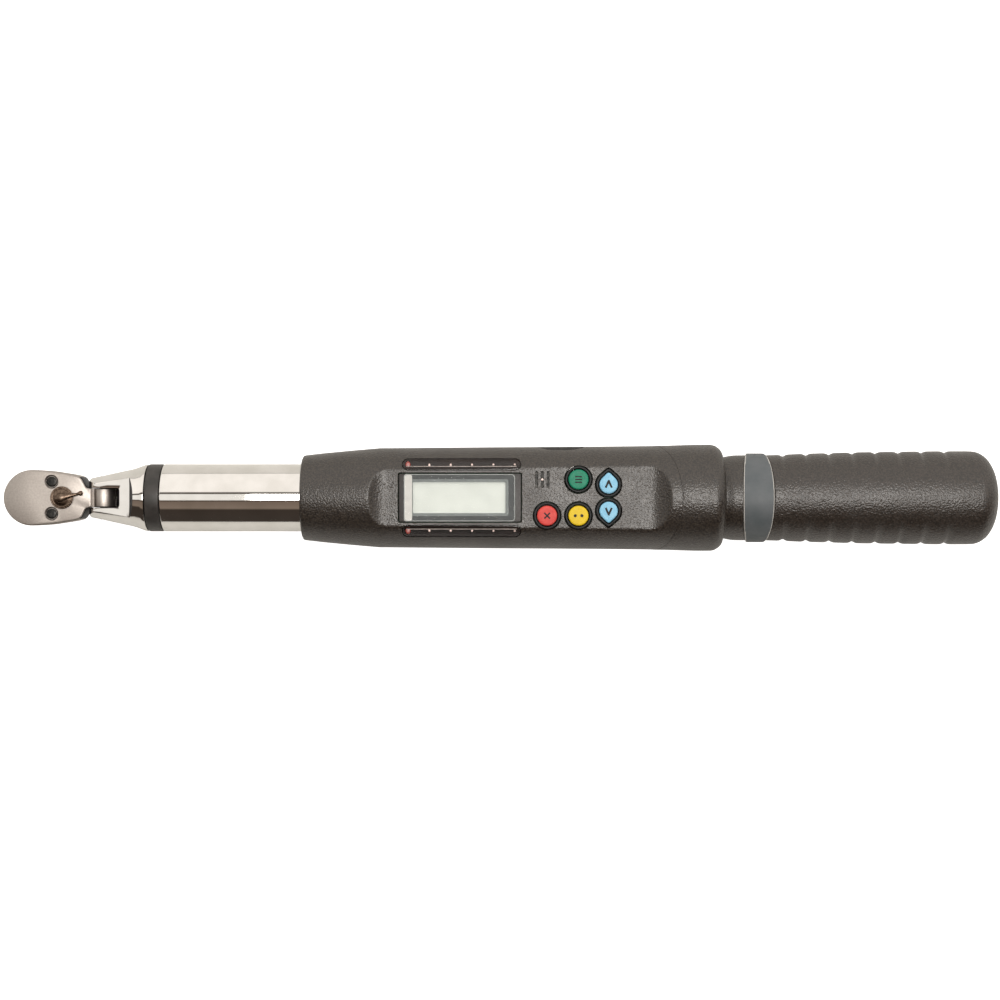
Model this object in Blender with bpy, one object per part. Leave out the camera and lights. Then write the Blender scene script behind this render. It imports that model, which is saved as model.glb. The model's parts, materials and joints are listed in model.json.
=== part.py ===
"""Electronic flex-head torque wrench, 1/4 in square drive.

Metres, +Z up. The origin is the centre of the square drive's end face.
+X runs from the head to the grip.
Shapes are written about the tool axis: X along the tool, Z up towards the display, Z = 0 on it.
The empty "tool_axis" lifts them to their place above the origin.
"""

import math

import bmesh
import bpy
from mathutils import Matrix, Vector

# ---------------------------------------------------------------- driving dimensions
AXIS_HEIGHT = 0.0153
GAP = 0.0003
FINE = 40
MEDIUM = 24
COARSE = 16
FAR = 0.030

HEAD_TOP = 0.0064
HEAD_BOTTOM = -0.0063
HEAD_RADIUS = 0.01120
SEAT_TOP = 0.0046
PLATE_BOTTOM = 0.0049
TILT_X = 0.0280
DRUM_RADIUS = 0.0050
DRUM_HALF_WIDTH = 0.00385
TONGUE_HALF_WIDTH = 0.0030
PIVOT_RADIUS = 0.0015

GEAR_RADIUS = 0.0069
GEAR_TEETH = 32
GEAR_BOTTOM = -0.0039
GEAR_TOP = 0.0043
HUB_RADIUS = 0.0050
TANG_HALF = 0.003175
TANG_TOP = -0.0068
BALL_Z = -0.0115
BALL_RADIUS = 0.00145
BALL_PROUD = 0.00045
BALL_BORE = 0.00175

PAWL_PIN_X = 0.0090
PAWL_BACK_X = 0.0102
PAWL_HALF_LENGTH = 0.0042
PAWL_FACE_RADIUS = 0.0075
PAWL_REST = math.radians(5)
LEVER_X = 0.0127
LEVER_REST = math.radians(13)
LEVER_REACH = 0.0079
LEVER_SHAFT = 0.0020
COVER_SCREW = (0.0084, 0.0064)

SLOT_HALF_WIDTH = 0.00415
SLOT_END_X = 0.0360
SLOT_WALL = ((0.0337, 0), (0.0340, 0.0024), (0.0349, 0.0050), (0.0361, 0.0074), (0.0385, 0.0300))
STEM_END_X = 0.0600
TUBE_OUTER = 0.0136
TUBE_INNER = 0.0105
TUBE_START_X = 0.0528
TUBE_END_X = 0.1180

WALL = 0.0022
PANEL_Z = 0.0165
ROOF_Z = 0.0143
FLOOR_Z = -0.0170
REST_Z = -0.0192
SEAM_X = 0.2498
SEAM_LEAN = 0.488
PORT_X = (0.2032, 0.2226)
PORT_HALF_HEIGHT = 0.0075

BOARD_Z = (0.0092, 0.0108)
SWITCH_Z = 0.0122
MAT_Z = (0.0126, 0.0134)
COLLAR_TOP = 0.0172
KEY_Z = (0.0132, 0.0177)
COLLAR_RADIUS = 0.00527
KEY_RADIUS = 0.00395
KEY_BORE = 0.00425
MODE_KEY = (0.2192, 0.0072)
CLEAR_KEY = (0.2068, -0.0071)
UNIT_KEY = (0.2192, -0.0071)
ARROW_X = 0.2311
ARROW_Y = 0.0052
ARROW_RADIUS = 0.0050
ARROW_TIP = 0.0066

BAR_X = (0.1496, 0.1964)
BAR_Y = (0.0110, 0.0154)
LED_COUNT = 6
LED_PITCH = 0.0084
SLOT_X = (0.2027, 0.2049, 0.2072)

CELL_RADIUS = 0.0052
CELL_LENGTH = 0.0445
CELL_Y = 0.0054
CELL_Z = -0.0109
CELL_START_X = 0.1453
DOOR_X = (0.1434, 0.2364)
DOOR_HALF_WIDTH = 0.0110
DOOR_BOTTOM = -0.0190
SCREW_PLACES = ((0.1330, 0.0130), (0.1330, -0.0130), (0.2388, 0.0138), (0.2388, -0.0138))

CORE_HALF_WIDTH = 0.0060
CORE_HALF_HEIGHT = 0.0050
CORE_END_X = 0.3830
RING_FRONT = (0.2877, -0.179)
RING_REAR = (0.2942, 0.123)
RING_OUTER = 0.01795
RING_INNER = 0.0145
GRIP_BORE = 0.0082
GRIP_BORE_END_X = 0.3835
GRIP_STATIONS = (
    (0.2945, 0.0172),
    (0.3010, 0.0174),
    (0.3100, 0.0178),
    (0.3340, 0.01845),
    (0.3500, 0.01865),
    (0.3660, 0.01885),
    (0.3900, 0.01885),
)
GROOVE_FIRST_X = 0.3024
GROOVE_PITCH = 0.0093
GROOVE_COUNT = 8
GROOVE_HALF_WIDTH = 0.0022
GROOVE_DEPTH = 0.0009


# ---------------------------------------------------------------- scene and materials
def clear_scene():
    for old in list(bpy.data.objects):
        bpy.data.objects.remove(old, do_unlink=True)


def finish(name, colour, roughness, metallic=0.0, alpha=1.0):
    made = bpy.data.materials.new(name)
    made.use_nodes = True
    shader = made.node_tree.nodes["Principled BSDF"]
    shader.inputs["Base Color"].default_value = (*colour, 1.0)
    shader.inputs["Roughness"].default_value = roughness
    shader.inputs["Metallic"].default_value = metallic
    shader.inputs["Alpha"].default_value = alpha
    return made


clear_scene()
SATIN_STEEL = finish("satin_steel", (0.48, 0.43, 0.38), 0.38, 1.0)
CHROME = finish("chrome", (0.78, 0.77, 0.75), 0.10, 1.0)
TOOL_STEEL = finish("tool_steel", (0.36, 0.34, 0.32), 0.35, 1.0)
BLACK_STEEL = finish("black_steel", (0.02, 0.02, 0.02), 0.45, 1.0)
SPRING_STEEL = finish("spring_steel", (0.55, 0.55, 0.55), 0.30, 1.0)
HOUSING = finish("housing_plastic", (0.075, 0.063, 0.056), 0.55)
BLACK_RUBBER = finish("black_rubber", (0.02, 0.02, 0.022), 0.75)
SLATE = finish("slate_plastic", (0.16, 0.18, 0.19), 0.35)
CLEAR = finish("clear_plastic", (0.90, 0.93, 0.92), 0.05, 0.0, 0.35)
LCD = finish("lcd", (0.78, 0.83, 0.76), 0.25)
BOARD = finish("circuit_board", (0.02, 0.16, 0.07), 0.45)
SMOKED = finish("smoked_plastic", (0.05, 0.06, 0.07), 0.12, 0.0, 0.8)
FROSTED = finish("frosted_plastic", (0.16, 0.19, 0.22), 0.40, 0.0, 0.9)
GREEN = finish("green_rubber", (0.01, 0.34, 0.19), 0.5)
RED = finish("red_rubber", (0.80, 0.08, 0.06), 0.5)
YELLOW = finish("yellow_rubber", (0.90, 0.66, 0.02), 0.5)
BLUE = finish("blue_rubber", (0.27, 0.60, 0.82), 0.5)
BRASS = finish("brass", (0.60, 0.45, 0.18), 0.3, 1.0)
CELL_WRAP = finish("cell_wrap", (0.10, 0.10, 0.12), 0.35)


# ---------------------------------------------------------------- places
def pivot(name, place, above=None):
    """An empty at a place given about the tool axis."""
    made = bpy.data.objects.new(name, None)
    bpy.context.scene.collection.objects.link(made)
    made["place"] = place
    if above:
        made.parent = above
        made.location = Vector(place) - Vector(above["place"])
    return made


TOOL = pivot("tool_axis", (0, 0, 0))
TOOL.location.z = AXIS_HEIGHT
TILT = pivot("head_tilt_axis", (TILT_X, 0, 0), TOOL)
DRIVE = pivot("drive_axis", (0, 0, 0), TILT)
BALL = pivot("detent_ball_axis", (TANG_HALF + BALL_PROUD - BALL_RADIUS, 0, BALL_Z), DRIVE)
PAWL = pivot("pawl_axis", (PAWL_PIN_X, 0, 0), TILT)
LEVER = pivot("lever_axis", (LEVER_X, 0, 0), TILT)
DOOR = pivot("battery_door_axis", (DOOR_X[0], 0, DOOR_BOTTOM), TOOL)
PORT = pivot("port_cover_axis", (PORT_X[0], 0.0208, 0), TOOL)


def place(name, shape, material=None, above=TOOL):
    """Links a bmesh, written about the tool axis, as an object whose origin is its parent empty."""
    bmesh.ops.recalc_face_normals(shape, faces=shape.faces)
    bmesh.ops.transform(shape, matrix=Matrix.Translation(-Vector(above["place"])), verts=shape.verts)
    mesh = bpy.data.meshes.new(name)
    shape.to_mesh(mesh)
    shape.free()
    made = bpy.data.objects.new(name, mesh)
    made.parent = above
    bpy.context.scene.collection.objects.link(made)
    mesh.shade_smooth()
    mesh.set_sharp_from_angle(angle=math.radians(32))
    if material:
        mesh.materials.append(material)
    else:
        made.hide_render = True
        made.display_type = "WIRE"
    return made


def carve(target, tool, operation="DIFFERENCE"):
    step = target.modifiers.new(f"{operation.lower()}_{tool.name}", "BOOLEAN")
    step.operation = operation
    step.solver = "EXACT"
    step.object = tool


# ---------------------------------------------------------------- outlines
def arc(centre, radius, start, end, steps):
    """Points on an arc, angles in degrees."""
    points = []
    for step in range(steps + 1):
        angle = math.radians(start + (end - start) * step / steps)
        points.append((centre[0] + radius * math.cos(angle), centre[1] + radius * math.sin(angle)))
    return points


def circle(centre, radius, steps=COARSE):
    return arc(centre, radius, 0, 360 - 360 / steps, steps - 1)


def pill(low, high, grow=0.0, steps=6):
    """A stadium outline along X between two corners."""
    radius = (high[1] - low[1]) / 2 + grow
    middle = (high[1] + low[1]) / 2
    offset = radius - grow
    right = arc((high[0] - offset, middle), radius, -90, 90, steps)
    left = arc((low[0] + offset, middle), radius, 90, 270, steps)
    return right + left


def rounded(low, high, radius, steps=3):
    """A rectangle outline with round corners."""
    return (
        arc((high[0] - radius, low[1] + radius), radius, -90, 0, steps)
        + arc((high[0] - radius, high[1] - radius), radius, 0, 90, steps)
        + arc((low[0] + radius, high[1] - radius), radius, 90, 180, steps)
        + arc((low[0] + radius, low[1] + radius), radius, 180, 270, steps)
    )


def teardrop(radius, tip, side):
    """An arrow key's outline, with its tip towards +Y for side 1 and -Y for side -1."""
    half = math.degrees(math.acos(radius / tip))
    round_part = arc((0, 0), radius, 90 + half, 450 - half, 14)
    outline = [(0, tip)] + round_part
    return [(ARROW_X + x, side * (ARROW_Y + y)) for x, y in outline]


def head_outline(inset=0.0):
    """The pear shape of the ratchet head, seen from above, with its narrow end at +X."""
    radius = HEAD_RADIUS - inset
    side = [(0.0075, 0.01085), (0.0123, 0.0101), (0.0172, 0.0093), (0.0196, 0.0086)]
    side += [(0.0210, 0.0066), (0.0217, 0.0044)]
    upper = [(x, y - inset) for x, y in side]
    lower = [(x, -y) for x, y in upper]
    nose = arc((0, 0), radius, 75, 285, 14)
    tail = 0.0221 - inset
    return nose + lower + [(tail, -TONGUE_HALF_WIDTH), (tail, TONGUE_HALF_WIDTH)] + upper[::-1]


# ---------------------------------------------------------------- solids
def prism(outline, low, high, axis="Z"):
    """Extrudes an outline. Along Y its points are (x, z), and along X they are (y, z)."""
    turn = {
        "Z": lambda a, b, c: (a, b, c),
        "Y": lambda a, b, c: (a, c, b),
        "X": lambda a, b, c: (c, a, b),
    }[axis]
    shape = bmesh.new()
    first = [shape.verts.new(turn(a, b, low)) for a, b in outline]
    last = [shape.verts.new(turn(a, b, high)) for a, b in outline]
    shape.faces.new(first)
    shape.faces.new(last)
    for index, vert in enumerate(first):
        after = (index + 1) % len(first)
        shape.faces.new((vert, first[after], last[after], last[index]))
    return shape


def box(low, high):
    """A block between two corners."""
    plan = [(low[0], low[1]), (high[0], low[1]), (high[0], high[1]), (low[0], high[1])]
    return prism(plan, low[2], high[2])


def lathe(profile, segments=MEDIUM, axis="X", centre=(0, 0), dent=None):
    """Turns a profile about X or Z.

    A profile point is (along, radius) or (along, radius, lean). Lean slants that ring by lean times height.
    A profile that starts and ends on the axis closes itself. Any other is joined end to end.
    """
    shape = bmesh.new()
    rings = []
    for point in profile:
        along, radius = point[:2]
        lean = point[2] if len(point) > 2 else 0.0
        ring = []
        for index in range(segments if radius > 0 else 1):
            angle = math.tau * (index + 0.5) / segments
            reach = radius - (dent(along, angle) if dent else 0.0)
            side = reach * math.cos(angle)
            up = reach * math.sin(angle)
            lying = (along + lean * up, side, up)
            standing = (centre[0] + side, centre[1] + up, along)
            ring.append(shape.verts.new(lying if axis == "X" else standing))
        rings.append(ring)
    open_ended = len(rings[0]) == 1 and len(rings[-1]) == 1
    for first, second in zip(rings, rings[1:] + ([] if open_ended else rings[:1])):
        for index in range(segments):
            after = (index + 1) % segments
            corners = [first[index % len(first)], first[after % len(first)]]
            corners += [second[after % len(second)], second[index % len(second)]]
            kept = list(dict.fromkeys(corners))
            if len(kept) > 2:
                shape.faces.new(kept)
    return shape


def rod(start, end, radius, segments=COARSE):
    """A cylinder along X."""
    return lathe([(start, 0), (start, radius), (end, radius), (end, 0)], segments)


def post(centre, low, high, radius, segments=COARSE):
    """A cylinder along Z."""
    return prism(circle(centre, radius, segments), low, high)


def coil(name, start, end, radius, wire, turns, material, above, axis="X", centre=(0, 0, 0)):
    """A compression spring as a curve with a round section."""
    curve = bpy.data.curves.new(name, "CURVE")
    curve.dimensions = "3D"
    curve.bevel_depth = wire
    curve.bevel_resolution = 0
    curve.use_fill_caps = True
    spline = curve.splines.new("POLY")
    count = 9 * turns
    spline.points.add(count)
    for index in range(count + 1):
        angle = math.tau * index / 9
        along = start + (end - start) * index / count
        side = radius * math.cos(angle)
        up = radius * math.sin(angle)
        spot = Vector((along, centre[1] + side, centre[2] + up)) - Vector(above["place"])
        spline.points[index].co = (*spot, 1.0)
    made = bpy.data.objects.new(name, curve)
    made.parent = above
    bpy.context.scene.collection.objects.link(made)
    curve.materials.append(material)
    return made


# ---------------------------------------------------------------- ratchet head
def make_head_body():
    body = place("head_body", prism(head_outline(), HEAD_BOTTOM, SEAT_TOP), SATIN_STEEL, TILT)
    tongue = box((0.0200, -TONGUE_HALF_WIDTH, -0.0040), (TILT_X, TONGUE_HALF_WIDTH, 0.0040))
    drum = prism(circle((TILT_X, 0), DRUM_RADIUS, MEDIUM), -DRUM_HALF_WIDTH, DRUM_HALF_WIDTH, "Y")
    carve(body, place("tongue_form", tongue), "UNION")
    carve(body, place("drum_form", drum), "UNION")
    carve(body, place("drum_bore", prism(circle((TILT_X, 0), PIVOT_RADIUS + GAP), -FAR, FAR, "Y")))
    carve(body, place("gear_pocket", post((0, 0), -0.0042, FAR, GEAR_RADIUS + 0.0005, MEDIUM)))
    carve(body, place("hub_bore", post((0, 0), -FAR, 0, HUB_RADIUS + GAP, MEDIUM)))
    carve(body, place("pawl_pocket", box((0.0050, -0.0047, -0.0039), (0.0109, 0.0047, FAR))))
    carve(body, place("pawl_pin_bore", post((PAWL_PIN_X, 0), -0.0052, 0, 0.0010)))
    carve(body, place("lever_bore", post((LEVER_X, 0), -0.0030, FAR, LEVER_SHAFT + GAP)))
    for side in (1, -1):
        bore = post((COVER_SCREW[0], side * COVER_SCREW[1]), -0.0015, FAR, 0.0013, 12)
        carve(body, place(f"cover_screw_bore_{side}", bore))


def make_cover_plate():
    plate = place("cover_plate", prism(head_outline(0.0004), PLATE_BOTTOM, HEAD_TOP), SATIN_STEEL, TILT)
    carve(plate, place("lever_hole", post((LEVER_X, 0), -FAR, FAR, 0.0026)))
    for index, side in enumerate((1, -1), 1):
        centre = (COVER_SCREW[0], side * COVER_SCREW[1])
        sink = [(0.0080, 0), (0.0080, 0.0024), (0.0055, 0.0024)]
        seat = sink + [(0.0055, 0.0014), (0.0040, 0.0014), (0.0040, 0)]
        carve(plate, place(f"screw_seat_{index}", lathe(seat, COARSE, "Z", centre)))
        head = [(0.0066, 0), (0.0066, 0.0018), (0.0063, 0.0021), (0.0058, 0.0021), (0.0058, 0.0011)]
        shank = [(-0.0012, 0.0011), (-0.0012, 0)]
        screw = place(f"cover_screw_{index}", lathe(head + shank, COARSE, "Z", centre), BLACK_STEEL, TILT)
        carve(screw, place(f"hex_socket_{index}", post(centre, 0.0060, FAR, 0.0010, 6)))


def make_drive_gear():
    teeth = []
    for index in range(GEAR_TEETH * 2):
        radius = GEAR_RADIUS - (0.0006 if index % 2 else 0.0)
        angle = math.tau * index / (GEAR_TEETH * 2)
        teeth.append((radius * math.cos(angle), radius * math.sin(angle)))
    gear = place("drive_gear", prism(teeth, GEAR_BOTTOM, GEAR_TOP), TOOL_STEEL, DRIVE)
    carve(gear, place("hub_form", post((0, 0), TANG_TOP, 0, HUB_RADIUS, MEDIUM)), "UNION")
    square = rounded((-TANG_HALF, -TANG_HALF), (TANG_HALF, TANG_HALF), 0.0006, 2)
    carve(gear, place("tang_form", prism(square, -AXIS_HEIGHT, 0)), "UNION")
    bore = prism(circle((0, BALL_Z), BALL_BORE), -0.0015, FAR, "X")
    carve(gear, place("ball_bore", bore))


def make_detent_ball():
    ball = bmesh.new()
    bmesh.ops.create_icosphere(ball, subdivisions=2, radius=BALL_RADIUS)
    bmesh.ops.translate(ball, vec=Vector(BALL["place"]), verts=ball.verts)
    place("detent_ball", ball, SPRING_STEEL, BALL)
    coil("ball_spring", -0.0012, 0.0004, 0.0010, 0.00018, 3, SPRING_STEEL, DRIVE, centre=(0, 0, BALL_Z))


def make_pawl():
    reach = math.degrees(math.asin(PAWL_HALF_LENGTH / PAWL_FACE_RADIUS))
    face = []
    for step in range(13):
        angle = math.radians(reach * (1 - step / 6))
        radius = PAWL_FACE_RADIUS + (0.0003 if step % 2 else 0.0)
        face.append((radius * math.cos(angle), radius * math.sin(angle)))
    back = [(PAWL_BACK_X, -PAWL_HALF_LENGTH), (PAWL_BACK_X, PAWL_HALF_LENGTH)]
    shape = prism(face + back, -0.0036, 0.0042)
    turn = Matrix.Rotation(PAWL_REST, 3, "Z")
    bmesh.ops.rotate(shape, cent=(PAWL_PIN_X, 0, 0), matrix=turn, verts=shape.verts)
    pawl = place("pawl", shape, TOOL_STEEL, PAWL)
    carve(pawl, place("pawl_bore", post((PAWL_PIN_X, 0), -FAR, FAR, 0.0010, 12)))
    place("pawl_pin", post((PAWL_PIN_X, 0), -0.0049, 0.0043, 0.0007, 12), TOOL_STEEL, TILT)


def make_lever():
    """The lever is built pointing along +X, then turned to its detent."""
    hub = [(0.0090, 0), (0.0088, 0.0018), (0.0080, 0.0030)]
    boss = hub + [(0.0080, 0.0037), (0.0075, 0.0037), (0.0075, 0.00455)]
    shaft = [(0.0067, 0.00455), (0.0067, LEVER_SHAFT), (-0.0025, LEVER_SHAFT), (-0.0025, 0)]
    lever = place("reversing_lever", lathe(boss + shaft, MEDIUM, "Z", (LEVER_X, 0)), SATIN_STEEL, LEVER)
    tip = LEVER_X + LEVER_REACH
    arm_outline = [(LEVER_X + 0.002, -0.0026), (tip, -0.0006), (tip, 0.0006), (LEVER_X + 0.002, 0.0026)]
    arm = place("lever_arm_form", prism(arm_outline, 0.0068, 0.0078), None, LEVER)
    knob_shape = bmesh.new()
    bmesh.ops.create_icosphere(knob_shape, subdivisions=2, radius=0.0009)
    bmesh.ops.translate(knob_shape, vec=Vector((tip, 0, 0.0076)), verts=knob_shape.verts)
    knob = place("lever_knob_form", knob_shape, None, LEVER)
    bore = prism(circle((0, 0), 0.0012, 12), LEVER_X - 0.0040, LEVER_X + 0.0009, "X")
    hole = place("plunger_bore", bore, None, LEVER)
    peg = rod(LEVER_X - 0.0021, LEVER_X - 0.0009, 0.0009, 12)
    plunger = place("lever_plunger", peg, TOOL_STEEL, LEVER)
    spring_place = (LEVER_X - 0.0006, LEVER_X + 0.0006)
    spring = coil("plunger_spring", *spring_place, 0.0006, 0.00015, 2, SPRING_STEEL, LEVER)
    carve(lever, arm, "UNION")
    carve(lever, knob, "UNION")
    carve(lever, hole)
    for piece in (lever, arm, knob, hole, plunger, spring):
        piece.rotation_euler.z = LEVER_REST


# ---------------------------------------------------------------- fork and tube
def make_fork():
    turned = [(0.0230, 0), (0.0230, 0.0080), (0.0408, 0.01175), (0.0456, 0.01355), (0.0464, 0.01355)]
    stem = [(0.0464, 0.0102), (STEM_END_X, 0.0102), (STEM_END_X, 0)]
    fork = place("fork_yoke", lathe(turned + stem, 32), CHROME)
    half = [(0.0253, 0.0066), (0.0402, 0.0086), (0.0405, 0.0150), (0.0610, 0.0150)]
    tip = [(0.0220, -0.0032), (0.0220, 0.0032)]
    side_view = tip + half + [(x, -z) for x, z in reversed(half)]
    carve(fork, place("fork_side_form", prism(side_view, -FAR, FAR, "Y")), "INTERSECT")
    slot_plan = rounded((0.0150, -SLOT_HALF_WIDTH), (SLOT_END_X, SLOT_HALF_WIDTH), 0.0012)
    slot = place("fork_slot", prism(slot_plan, -FAR, FAR))
    below = [(x, -z) for x, z in reversed(SLOT_WALL[1:])]
    slot_side = [(0.0140, FAR), (0.0140, -FAR), *below, *SLOT_WALL]
    carve(slot, place("fork_slot_side", prism(slot_side, -FAR, FAR, "Y")), "INTERSECT")
    carve(fork, slot)
    carve(fork, place("fork_pin_bore", prism(circle((TILT_X, 0), PIVOT_RADIUS + GAP), -FAR, FAR, "Y")))
    carve(fork, place("tilt_plunger_bore", rod(0.0320, 0.0452, 0.0019)))
    pin = prism(circle((TILT_X, 0), PIVOT_RADIUS), -0.0088, 0.0088, "Y")
    place("pivot_pin", pin, BLACK_STEEL)
    tip_profile = [(0.0333, 0), (0.0333, 0.0008), (0.0341, 0.0016), (0.0400, 0.0016), (0.0400, 0)]
    place("tilt_plunger", lathe(tip_profile, COARSE), TOOL_STEEL)
    coil("tilt_spring", 0.0406, 0.0446, 0.0013, 0.00022, 5, SPRING_STEEL, TOOL)


def make_tube():
    ring = [(0.0467, TUBE_INNER), (0.0467, TUBE_OUTER), (0.0525, TUBE_OUTER), (0.0525, TUBE_INNER)]
    place("isolation_ring", lathe(ring, 32), BLACK_RUBBER)
    front = [(TUBE_START_X, TUBE_INNER), (TUBE_START_X, TUBE_OUTER)]
    rear = [(TUBE_END_X, TUBE_OUTER), (TUBE_END_X, TUBE_INNER)]
    place("barrel_tube", lathe(front + rear, 32), CHROME)


def make_load_path():
    beam_half = 0.0055
    beam = box((STEM_END_X + GAP, -beam_half, -0.0040), (0.1177, beam_half, 0.0040))
    place("strain_beam", beam, TOOL_STEEL)
    for name, side in (("strain_gauge_left", 1), ("strain_gauge_right", -1)):
        inner = side * (beam_half + GAP)
        outer = side * (beam_half + 0.0006)
        patch = box((0.0800, min(inner, outer), -0.0030), (0.0880, max(inner, outer), 0.0030))
        place(name, patch, BRASS)
    under = [(0.0840, 0.0062), (0.1250, 0.0062), (0.1400, 0.0080), (0.1470, 0.0080)]
    over = [(x, z + 0.0004) for x, z in reversed(under)]
    place("sensor_ribbon", prism(under + over, -0.0025, 0.0025, "Y"), BRASS)
    low = (TUBE_END_X, -CORE_HALF_WIDTH, -CORE_HALF_HEIGHT)
    high = (CORE_END_X, CORE_HALF_WIDTH, CORE_HALF_HEIGHT)
    place("core_bar", box(low, high), TOOL_STEEL)


# ---------------------------------------------------------------- electronics housing
HOUSING_PROFILE = (
    (0.1088, 0.0165),
    (0.1094, 0.0171),
    (0.1170, 0.0180),
    (0.1275, 0.0190),
    (0.1396, 0.02005),
    (0.1880, 0.02045),
    (0.2290, 0.02070),
)
SEAM_RADIUS = 0.0210


def housing_form():
    """The outer shape of the housing in front of the slanted seam, without its flats."""
    seam = [(SEAM_X - GAP / 2, SEAM_RADIUS, SEAM_LEAN), (SEAM_X - GAP / 2, 0)]
    return lathe([(HOUSING_PROFILE[0][0], 0), *HOUSING_PROFILE, *seam], FINE)


def make_form_tools():
    """Cutters that several housing pieces share."""
    inside = [(x, radius - WALL) for x, radius in HOUSING_PROFILE[2:]]
    ends = [(0.2620, 0.0186), (0.2620, 0)]
    cavity = place("cavity_form", lathe([(0.1130, 0), (0.1130, 0.0150), *inside, *ends], FINE))
    narrow = 0.0105
    wide_part = [(0.1410, FAR), (0.2365, FAR)]
    half_plan = [(0.1120, narrow), (0.1410, narrow), *wide_part, (0.2365, narrow), (0.2630, narrow)]
    plan = half_plan + [(x, -y) for x, y in reversed(half_plan)]
    carve(cavity, place("cavity_plan", prism(plan, FLOOR_Z, ROOF_Z)), "INTERSECT")
    rise = [(0.1407, PANEL_Z), (0.1378, 0.0175), (0.1354, 0.0200), (0.1354, FAR)]
    fall = [(0.2562, FAR), (0.2562, 0.0214), (0.2536, 0.0182), (0.2502, PANEL_Z)]
    return {
        "outer": place("housing_outer_form", housing_form()),
        "cavity": cavity,
        "tube": place("tube_bore", rod(0.1000, 0.1183, TUBE_OUTER + GAP, 32)),
        "panel": place("panel_cut", prism(rise + fall, -FAR, FAR, "Y")),
        "rest": place("rest_cut", box((0.1000, -FAR, -FAR), (0.3000, FAR, REST_Z))),
        "port": place("port_cut", prism(pill_side(GAP), 0.0100, FAR, "Y")),
        "above": place("upper_space", box((0.1000, -FAR, -GAP / 2), (0.3000, FAR, FAR))),
        "below": place("lower_space", box((0.1000, -FAR, -FAR), (0.3000, FAR, GAP / 2))),
    }


def pill_side(grow):
    return pill((PORT_X[0], -PORT_HALF_HEIGHT), (PORT_X[1], PORT_HALF_HEIGHT), grow)


def bar_outline(side, grow=0.0):
    low, high = sorted((side * BAR_Y[0], side * BAR_Y[1]))
    return pill((BAR_X[0], low), (BAR_X[1], high), grow)


def key_outlines(radius, arrow_radius, arrow_tip):
    """The five keypad outlines, by key name."""
    return {
        "mode_key": circle(MODE_KEY, radius),
        "clear_key": circle(CLEAR_KEY, radius),
        "unit_key": circle(UNIT_KEY, radius),
        "up_key": teardrop(arrow_radius, arrow_tip, 1),
        "down_key": teardrop(arrow_radius, arrow_tip, -1),
    }


def make_upper_housing(tools):
    shell = place("upper_housing", housing_form(), HOUSING)
    for name in ("cavity", "tube", "below", "panel", "port"):
        carve(shell, tools[name])
    recess = rounded((0.1479, -0.00985), (0.1968, 0.00985), 0.0012)
    carve(shell, place("display_recess", prism(recess, 0.0120, FAR)))
    for side in (1, -1):
        carve(shell, place(f"bar_slot_{side}", prism(bar_outline(side, GAP), 0.0080, FAR)))
    holes = key_outlines(COLLAR_RADIUS + GAP, ARROW_RADIUS + GAP, ARROW_TIP + 0.0004)
    for name, outline in holes.items():
        carve(shell, place(f"{name}_hole", prism(outline, 0.0120, FAR)))
    for index, x in enumerate(SLOT_X):
        slot = box((x - 0.00045, 0.0040, 0.0120), (x + 0.00045, 0.0104, FAR))
        carve(shell, place(f"buzzer_slot_{index}", slot))
    for index, spot in enumerate(SCREW_PLACES):
        carve(shell, place(f"upper_screw_bore_{index}", post(spot, -0.0010, 0.0060, 0.0015, 12)))


def make_lower_housing(tools):
    shell = place("lower_housing", housing_form(), HOUSING)
    for name in ("cavity", "tube", "above", "rest", "port"):
        carve(shell, tools[name])
    edge = DOOR_HALF_WIDTH + GAP
    opening = box((DOOR_X[0] - GAP, -edge, -FAR), (DOOR_X[1] + GAP, edge, -0.0150))
    carve(shell, place("battery_opening", opening))
    for index, spot in enumerate(SCREW_PLACES, 1):
        narrow_bore = [(0.0010, 0), (0.0010, 0.0015), (-0.0109, 0.0015)]
        wide_bore = [(-0.0109, 0.0025), (-FAR, 0.0025), (-FAR, 0)]
        bore = lathe(narrow_bore + wide_bore, 12, "Z", spot)
        carve(shell, place(f"lower_screw_bore_{index}", bore))
        shank = [(0.0055, 0), (0.0055, 0.0012), (-0.0112, 0.0012)]
        head = [(-0.0112, 0.0022), (-0.0130, 0.0022), (-0.0130, 0)]
        place(f"housing_screw_{index}", lathe(shank + head, 12, "Z", spot), BLACK_STEEL)
    door_box = box((DOOR_X[0], -DOOR_HALF_WIDTH, DOOR_BOTTOM), (DOOR_X[1], DOOR_HALF_WIDTH, -0.0164))
    door = place("battery_door", door_box, HOUSING, DOOR)
    carve(door, tools["outer"], "INTERSECT")


def make_port(tools):
    cover = place("port_cover", prism(pill_side(0), 0.0182, FAR, "Y"), BLACK_RUBBER, PORT)
    carve(cover, tools["outer"], "INTERSECT")
    socket = place("data_port", box((0.2080, 0.0110, -0.0022), (0.2180, 0.0172, 0.0022)), SPRING_STEEL)
    carve(socket, place("socket_hollow", box((0.2086, 0.0125, -0.0016), (0.2174, FAR, 0.0016))))


def make_rear_collar(tools):
    seam_x = SEAM_X + GAP / 2
    outer = [(seam_x, SEAM_RADIUS, SEAM_LEAN), (0.2650, 0.02145), (0.2737, 0.02145)]
    shoulder = [(0.2760, 0.0203), (0.2773, 0.0186)]
    neck = [(0.2777, 0.0172), (RING_FRONT[0] - GAP, 0.0172, RING_FRONT[1])]
    inner = [(RING_FRONT[0] - GAP, GRIP_BORE, RING_FRONT[1]), (0.2740, GRIP_BORE), (0.2725, 0.0176)]
    mouth = [(seam_x, 0.0176, SEAM_LEAN)]
    collar = place("rear_collar", lathe(outer + shoulder + neck + inner + mouth, FINE), HOUSING)
    carve(collar, tools["rest"])


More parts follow.
